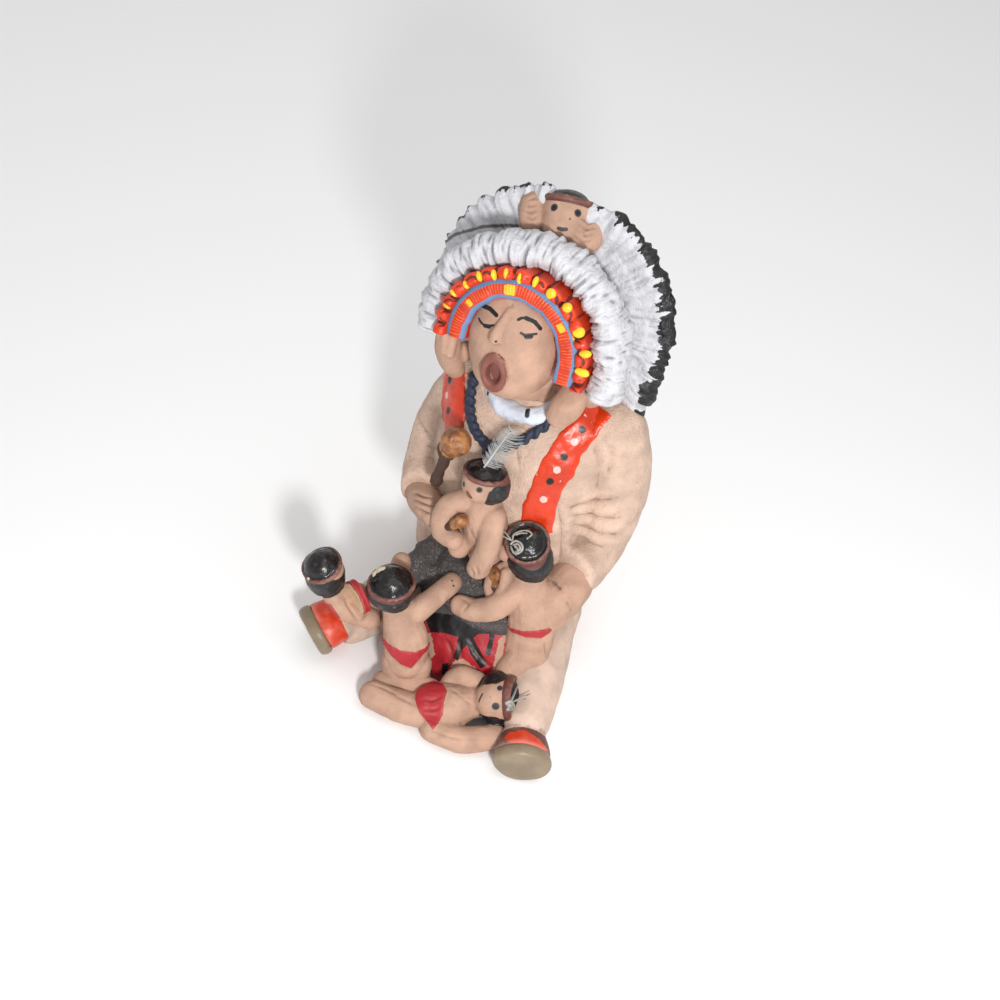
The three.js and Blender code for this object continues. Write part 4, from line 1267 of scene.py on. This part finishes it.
def makeChild(name, shape, seed):
    skull = headMatrix(*shape["head"])
    radius = shape["head"][1]
    bandAt, thick = shape.get("bandAt", 0.3), shape.get("bandThick", 0.13)
    wide = math.sqrt(1 - ((bandAt - 0.12) / 0.92) ** 2) * 0.98
    bobCentre, bobHalf = bobs[shape.get("bob", "full")]
    bm = bmesh.new()
    addBall(bm, (0, 0.03, -0.1), (0.9, 0.93, 0.96), into=skull)
    addBall(bm, (0, -0.03, 0.12), (0.96, 0.94, shape.get("dome", 0.92)), into=skull)
    for centre, half in [*shape.get("jaw", []), (bobCentre, bobHalf)]:
        addBall(bm, centre, half, into=skull)
    level = skull @ Matrix.Translation((0, -0.03, bandAt))
    addRing(bm, level @ Matrix.Diagonal((1, 1, thick / 0.13, 1)), wide, 0.13)
    for stations in shape["limbs"]:
        addLimb(bm, stations)
    piece = moulded(pieceFrom(name, bm), childClay["voxel"], childClay["soften"])
    points = spots(piece)
    own = local(points, skull)
    away = nowhere * (np.linalg.norm(own, axis=1) >= 1.25)
    inBob = np.linalg.norm((own - bobCentre) / bobHalf, axis=1) - 1
    below = np.maximum(radius * (inBob - 0.06), radius * (own[:, 2] - bandAt))
    onTop = radius * (bandAt - own[:, 2]) + away
    onBand = radius * (np.abs(own[:, 2] - bandAt) - thick - 0.02) + away
    onBand = onBand + nowhere * (np.hypot(own[:, 0], own[:, 1] + 0.03) < wide - 0.02)
    swelled(piece, childClay["swells"], seed)
    swell(piece, 0.16 * lumps(points, 1.3, seed + 5) * (np.minimum(below, onTop) < 0))
    creased(piece, [(pixels, 0.7, 0.75) for pixels in shape["fingers"]])
    cloth = nearest(piece, [])
    if "cloth" in shape:
        cloth = patch(piece, shape["cloth"])
        swell(piece, 0.4 * smoothly(0.5, -0.4, cloth))
    eyes, small, glue = (dotted(piece, shape.get(key, [])) for key in ("eyes", "spots", "glue"))
    mouth = [stroke(piece, *shape["mouth"])] if "mouth" in shape else []
    lips = [stroke(piece, *shape["lips"])] if "lips" in shape else []
    glue = nearest(piece, glue)
    swell(piece, smoothly(0.4, -0.4, glue) * (0.7 + 0.4 * lumps(points, 1.2, seed + 6)))
    groundedWithHollows(piece)
    mark(piece, glue=glue, band=onBand, hair=onTop, below=below, cloth=cloth)
    mark(piece, ink=nearest(piece, eyes + small + mouth), pupil=nearest(piece, eyes) + 0.5,
         lips=nearest(piece, lips))
    return piece


childPaint = paintedClay("child_paint", palette["skin"], [
    ("below", palette["slate"], 0.32, 0.4),
    ("hair", palette["hair"], 0.18, 0.3),
    ("band", palette["band"], 0.4, 0.3),
    ("cloth", palette["red"], 0.5, 0.4),
    ("ink", rgb(60, 58, 58), 0.5, 0.2),
    ("pupil", palette["hair"], 0.4, 0.1),
    ("lips", palette["mouth"], 0.5, 0.2),
    ("glue", palette["glue"], 0.3, 0.6),
], grain=0.11, specks=0.6, soilAndShade=0.4)
seeds = range(60, 120, 10)
made = {name: makeChild(name, shape, seed) for seed, (name, shape) in zip(seeds, children.items())}


# The drum of the child on the right leg
drum = {
    "place": ((-34, -69.6, 34.2), 0, -9.9, 59.8),
    "radius": 7.3,
    "depth": 3,
    "redRim": 0.7,
    "voxel": 0.35,
    "soften": 3,
    "swells": [(3, 0.15)],
    "seed": 3,
}
bm = bmesh.new()
half, radius = drum["depth"] / 2, drum["radius"]
profile = [(0, -half + 0.3), (radius - 1.6, -half + 0.2), (radius - 0.9, -half - 0.2), (radius, -half + 0.3),
           (radius - 0.3, 0), (radius, half - 0.3), (radius - 0.9, half + 0.2), (0, half - 0.3)]
lying = place(*drum["place"]) @ Matrix.Rotation(math.radians(90), 4, "Z")
addLathe(bm, profile, lying)
drumPiece = modelled("drum", bm, drum)
own = local(spots(drumPiece), lying)
groundedWithHollows(drumPiece)
mark(drumPiece, rim=radius - drum["redRim"] - np.hypot(own[:, 0], own[:, 2]))
finished(drumPiece, paintedClay("drum_paint", rgb(206, 182, 146), [("rim", palette["red"], 0.5, 0.8)]))


# Two strips laid down the front of the shirt: their two edges and their dots, in pixels
strips = {
    "left": {
        "inner": [(464, 366), (465, 378), (466, 395), (466, 412), (465, 424), (462, 440)],
        "outer": [(446, 366), (444, 378), (442.5, 395), (442.5, 412), (445, 427), (448, 440)],
        "blackDots": [(449.5, 380.5), (448, 410.5)],
        "whiteDots": [(446.6, 395.3)],
    },
    "right": {
        "inner": [(589, 401), (583, 408), (569, 425), (558, 436), (547, 452), (536, 474), (528, 493),
                  (523, 507), (521, 530)],
        "outer": [(611, 416), (606, 423), (601, 430), (590, 444), (580, 460), (572.5, 477), (564.5, 488),
                  (556, 507), (553, 532)],
        "blackDots": [(582.5, 429.5), (564, 457), (550, 481.5)],
        "whiteDots": [(574.5, 442), (557, 470), (543.6, 499.5)],
    },
}
strip = {"proud": 1.0, "thick": 3, "across": 26, "dot": 2.9, "swells": [(4, 0.2), (1.5, 0.06)], "seed": 5}
shirtTree = treeOf(shirtPiece, mm)


def draped(x, z):
    # the front of the shirt at an x and a height
    hit = shirtTree.ray_cast(Vector((x, -80, z)), Vector((0, 1, 0)))[0]
    return hit.y if hit is not None and hit.y < 8 else chest(x, min(z, 118))


def shirtAt(pixel):
    # the place on the shirt behind a pixel, and the way it faces there
    ray = rayThrough(pixel)
    spot, facing = shirtTree.ray_cast(eye, ray)[:2]
    if spot is None:
        spot, facing = shirtTree.find_nearest(eye + ray * view["distance"])[:2]
    return spot, facing


for side, shape in strips.items():
    inner, outer = (along([(*pixel, 0) for pixel in shape[edge]], 14) for edge in ("inner", "outer"))
    long = len(inner) - 1
    bm = bmesh.new()
    grid = bmesh.ops.create_grid(bm, x_segments=strip["across"], y_segments=long, size=1)["verts"]
    for vert in grid:
        across, step = vert.co.x, round((vert.co.y + 1) / 2 * long)
        share = (1 + across * (1 + 0.04 * math.sin(step * 0.21) + 0.03 * math.sin(step * 0.55 + across))) / 2
        spot, facing = shirtAt(inner[step] * (1 - share) + outer[step] * share)
        vert.co = spot + facing * strip["proud"] * (1 - 0.75 * abs(across) ** 6)
    under = bmesh.ops.extrude_face_region(bm, geom=list(bm.faces))["geom"]
    for vert in under:
        if isinstance(vert, bmesh.types.BMVert):
            vert.co -= pictureBack * strip["thick"]
    bmesh.ops.recalc_face_normals(bm, faces=bm.faces)
    piece = pieceFrom(side + "Strip", bm)
    swelled(piece, strip["swells"], strip["seed"])
    for field in ("blackDots", "whiteDots"):
        dots = dotted(piece, [(pixel, strip["dot"]) for pixel in shape[field]])
        mark(piece, **{field: nearest(piece, dots)})
    groundedWithHollows(piece)
    mark(piece, scuff=0.86 - lumps(spots(piece) * (1, 1, 0.3), 1.1, 77))
    finished(piece, paintedClay(side + "_strip_paint", palette["orange"], [
        ("scuff", palette["white"], 0.5, 0.4),
        ("blackDots", palette["hair"], 0.25, 0.5),
        ("whiteDots", rgb(224, 178, 170), 0.3, 0.5),
    ], roughness=0.28, grain=0.03, soilAndShade=0.3))


# The neckerchief, with its dashes in pixels, and the twisted necklace with its drop
kerchief = {
    "route": [(-20, -5, 115, 3), (-15, -14.2, 111, 3.2), (-6, -18, 109, 3.5), (4, -16.6, 111, 3.3),
              (11, -9, 115, 3)],
    "voxel": 0.5,
    "soften": 4,
    "swells": [(5, 0.7), (2, 0.35)],
    "seed": 19,
    "dashes": [([(488.4, 391), (487.6, 394.5), (486.8, 398)], 1.1),
               ([(528.8, 404.5), (528, 410), (527, 415.5)], 1.8)],
}
bm = bmesh.new()
addLimb(bm, kerchief["route"], sides=24)
kerchiefPiece = modelled("neckerchief", bm, kerchief)
groundedWithHollows(kerchiefPiece)
mark(kerchiefPiece, ink=nearest(kerchiefPiece, [stroke(kerchiefPiece, *dash) for dash in kerchief["dashes"]]))
finished(kerchiefPiece, paintedClay("kerchief_paint", rgb(206, 212, 224), [
    ("ink", palette["hair"], 0.4, 0.3),
]))

necklace = {
    # x and height on the chest
    "route": [(-24, 113), (-22.5, 107), (-19.5, 101.5), (-14.5, 97.5), (-8, 96), (-1, 99), (5.5, 105),
              (10.5, 112), (13, 117)],
    "proud": 1.6,
    "cord": 1.25,
    "twist": 0.52,  # radians at each step
    "drop": [(0, 0, 0, 2.2), (0.2, -0.4, -3, 2.6), (-0.4, 0, -5.6, 1.6)],
    "dropAt": 4,
    "dropProud": 2,
    "voxel": 0.4,
    "soften": 1,
    "swells": [(1.6, 0.1)],
    "seed": 29,
}
bm = bmesh.new()
rope = along([(x, draped(x, z) - necklace["proud"], z) for x, z in necklace["route"]], 14)
back = Vector((0, 1, 0))
for start in (0, math.pi):
    twist = []
    for i, middle in enumerate(rope):
        side = heading(rope, i).cross(back).normalized()
        phase = i * necklace["twist"] + start
        offset = side * math.cos(phase) + back * math.sin(phase)
        twist.append((*(Vector(middle) + offset), necklace["cord"]))
    addLimb(bm, twist, sides=10)
x, z = necklace["route"][necklace["dropAt"]]
y = draped(x, z) - necklace["dropProud"]
addLimb(bm, [(x + across, y + out, z + rise, girth) for across, out, rise, girth in necklace["drop"]])
ropePiece = modelled("necklace", bm, necklace)
groundedWithHollows(ropePiece)
finished(ropePiece, paintedClay("necklace_paint", palette["navy"], roughness=0.6, soilAndShade=0.1, specks=0.2))


# The rattles, the feather and the quills, loose pieces of their own
loose = {
    "gourd": {"at": (-17.6, -37.5, 102), "radius": 5.7, "budLean": (-0.39, 0, -0.92), "bud": 4.2,
              "stickLean": (-0.16, 0.03, -0.99), "stick": 1.9, "stickLength": 15},
    "lapRattle": {"foot": (-10.6, -47.6, 69.2), "head": (-6.2, -47.8, 75), "radius": 2.8, "stick": 1.8},
    "kneeRattle": {"foot": (12.4, -46, 46), "head": (10.7, -44.4, 51.4), "radius": 2.9, "stick": 1.2},
    "feather": {"from": (484.4, 467), "aim": (0.205, 0.674, 0.71), "length": 17.5, "width": 7.5,
                "barbs": 54},
    # glue and broken quills on a child's head: strokes in pixels with their radius, and stubs off them
    "kneeQuills": {"on": "kneeChild", "glue": [
        ([(511, 544), (515, 541), (520.4, 543), (522.6, 548.4), (519, 553), (513.6, 552.4),
          (511, 547)], 0.45),
        ([(513.5, 545), (518, 544), (520.4, 549), (516, 551.6)], 0.4),
        ([(515.4, 546.4), (517.8, 549)], 0.5),
        ([(512.6, 541), (513.4, 535.5), (519.5, 531.4), (527.5, 530.8), (531.8, 534.4),
          (527.4, 538.4)], 0.35),
        ([(516, 534.8), (521, 533.2), (526.6, 533.4)], 0.3),
    ], "from": (512, 541), "stubs": [(-3.6, 4.6, 1.2), (-4.6, 2.6, 1.6)]},
    "groundQuills": {"on": "groundChild", "glue": [
        ([(507, 703), (510, 701.5), (513, 704.5), (512, 708.6), (508, 709)], 0.8),
        ([(509, 705), (512, 707)], 0.9),
        ([(511, 702), (514, 694), (517, 687)], 0.45),
    ], "from": (511.5, 702), "stubs": [(2.4, 6, 1), (5.6, 1.6, 1.6), (7.4, 3.4, 0.6)]},
}
rattle = {"voxel": 0.33, "soften": 2, "swells": [(3.4, 0.5), (1.6, 0.22), (0.8, 0.08)], "seed": 33}


def amberPaint():
    paint = Paint("amber_paint")
    body = paint.mix(paint.edge(paint.noise(3.2, 4), 0.38, 0.62), palette["amber"], rgb(164, 110, 62))
    body = paint.mix(paint.edge(paint.noise(2.4, 5), 0.56, 0.74) * 0.8, body, palette["bark"])
    # darker in the hollows: painted shade
    body = paint.mix(paint.edge(paint.read("hollow"), 0.0, 0.1) * 0.7, body, palette["bark"])
    bark = paint.edge(paint.read("bark") + (paint.noise(1, 3) - 0.5) * 1.5, 0.3, -0.3)
    dark = paint.mix(paint.noise(0.8, 3), palette["bark"], shade(palette["bark"], 1.9))
    relief = paint.noise(0.9, 3) * 0.22 + paint.noise(0.35, 2) * bark * 0.3
    return paint.made(paint.mix(bark, body, dark), 0.35 + bark * 0.4, relief)


amber = amberPaint()


def makeRattle(name, node, balls, stick, radius):
    bm = bmesh.new()
    for centre, size in balls:
        addBall(bm, centre, size, detail=5)
    girths = np.linspace(radius, radius * 1.3, len(stick))
    addLimb(bm, [(*point, girth) for point, girth in zip(stick, girths)], sides=20)
    piece = modelled(name, bm, rattle)
    groundedWithHollows(piece)
    fromHead = np.linalg.norm(spots(piece) - np.array(balls[0][0]), axis=1)
    mark(piece, bark=1.5 + balls[-1][1] * 1.25 - fromHead)
    finished(piece, amber, node, slot="gourd")


shape = loose["gourd"]
bud = Vector(shape["at"]) + Vector(shape["budLean"]) * shape["radius"]
foot = bud + Vector(shape["stickLean"]) * (shape["bud"] + shape["stickLength"])
balls = [(shape["at"], shape["radius"]), (tuple(bud), shape["bud"])]
makeRattle("gourd", "gourd_rattle", balls, [bud, (bud + foot) / 2, foot], shape["stick"])
for name, node in (("lapRattle", "lap_child_rattle"), ("kneeRattle", "knee_child_rattle")):
    shape = loose[name]
    makeRattle(name, node, [(shape["head"], shape["radius"])], [shape["foot"], shape["head"]], shape["stick"])


def featherMatrix(root, aim):
    up = Vector(aim).normalized()
    side = (Vector((1, 0, 0)) - up * up.x).normalized()
    return Matrix.Translation(root) @ axesAlong(side, up.cross(side), up)


shape = loose["feather"]
bm = bmesh.new()
into = featherMatrix(seen(made["lapChild"], [shape["from"]])[0], shape["aim"])
whole = shape["length"]
addLimb(bm, [(0, 0, 0, 0.42), (0, 0.2, whole * 0.5, 0.3), (0.3, 0, whole * 0.97, 0.12)], sides=8, into=into)
random = np.random.default_rng(8)
for step in np.linspace(0.04, 0.97, shape["barbs"]):
    reach = shape["width"] * (0.35 + 0.65 * math.sin(math.pi * (0.2 + 0.7 * step))) * random.uniform(0.6, 1.1)
    for side, share in ((-1, 0.5), (1, 1)):
        base = step * whole
        lean, lift = random.uniform(0.25, 0.6), random.uniform(-0.3, 0.5)
        long = reach * share
        tip = (side * long, lift * long, base + long * lean)
        middle = (side * long * 0.5, lift * long * 0.3, base + long * lean * 0.3)
        addLimb(bm, [(0, 0, base, 0.1), (*middle, 0.1), (*tip, 0.05)], sides=4, into=into, rounded=())
featherPiece = pieceFrom("feather", bm)
groundedWithHollows(featherPiece)
paint = Paint("down_paint")
down = paint.mix(paint.noise(3), rgb(154, 155, 154), rgb(208, 209, 207))
finished(featherPiece, paint.made(down, 0.8, paint.noise(0.5) * 0.02), "lap_child_feather", slot="feather")

paint = Paint("quill_paint")
horn = paint.mix(paint.noise(1.5, 3), rgb(124, 122, 114), rgb(180, 178, 170))
quill = paint.made(horn, 0.3, paint.noise(0.6, 3) * 0.2)
for name, node in (("kneeQuills", "knee_child_quills"), ("groundQuills", "ground_child_quills")):
    shape = loose[name]
    bearer = made[shape["on"]]
    bm = bmesh.new()
    for pixels, radius in shape["glue"]:
        path = [Vector(spot) + pictureBack * radius * 0.5 for spot in seen(bearer, pixels)]
        addLimb(bm, [(*spot, radius) for spot in path], sides=10)
    root = Vector(seen(bearer, [shape["from"]])[0])
    for across, rise, toward in shape["stubs"]:
        tip = root + pictureRight * across + pictureUp * rise + pictureBack * toward
        addLimb(bm, [(*root, 0.28), (*tip, 0.14)], sides=8)
    piece = pieceFrom(name, bm)
    swelled(piece, [(1.2, 0.14)], 9)
    groundedWithHollows(piece)
    finished(piece, quill, node, slot="feather")
for piece in made.values():
    finished(piece, childPaint)
print("children and trim made")


# A pale floor and soft studio light
studio = {
    # place, size and power of each lamp
    "key": ((eye + pictureRight * 75 - pictureUp * 155) * mm, 0.07, 2.6),
    "above": ((0.1, 0.1, 0.9), 0.8, 1.7),
    "aim": (0, -0.02, 0.09),
    "sky": 0.64,
    "floor": (0.9, 0.9, 0.9),
}
for name in ("key", "above"):
    spot, size, power = studio[name]
    lamp = bpy.data.lights.new(name, "AREA")
    lamp.shape, lamp.size, lamp.energy = "DISK", size, power
    light = bpy.data.objects.new(name, lamp)
    light.location = spot
    light.rotation_euler = (Vector(studio["aim"]) - Vector(spot)).to_track_quat("-Z", "Y").to_euler()
    bpy.context.scene.collection.objects.link(light)
world = bpy.data.worlds.new("studio")
bpy.context.scene.world = world
world.use_nodes = True
sky = world.node_tree.nodes["Background"].inputs
sky["Color"].default_value = (1, 1, 1, 1)
sky["Strength"].default_value = studio["sky"]
bm = bmesh.new()
bmesh.ops.create_grid(bm, x_segments=1, y_segments=1, size=3)
floor = pieceFrom("floor", bm)
floor.data.materials.append(Paint("floor").made(studio["floor"], 0.9, 0))
bpy.context.scene.view_settings.view_transform = "Standard"
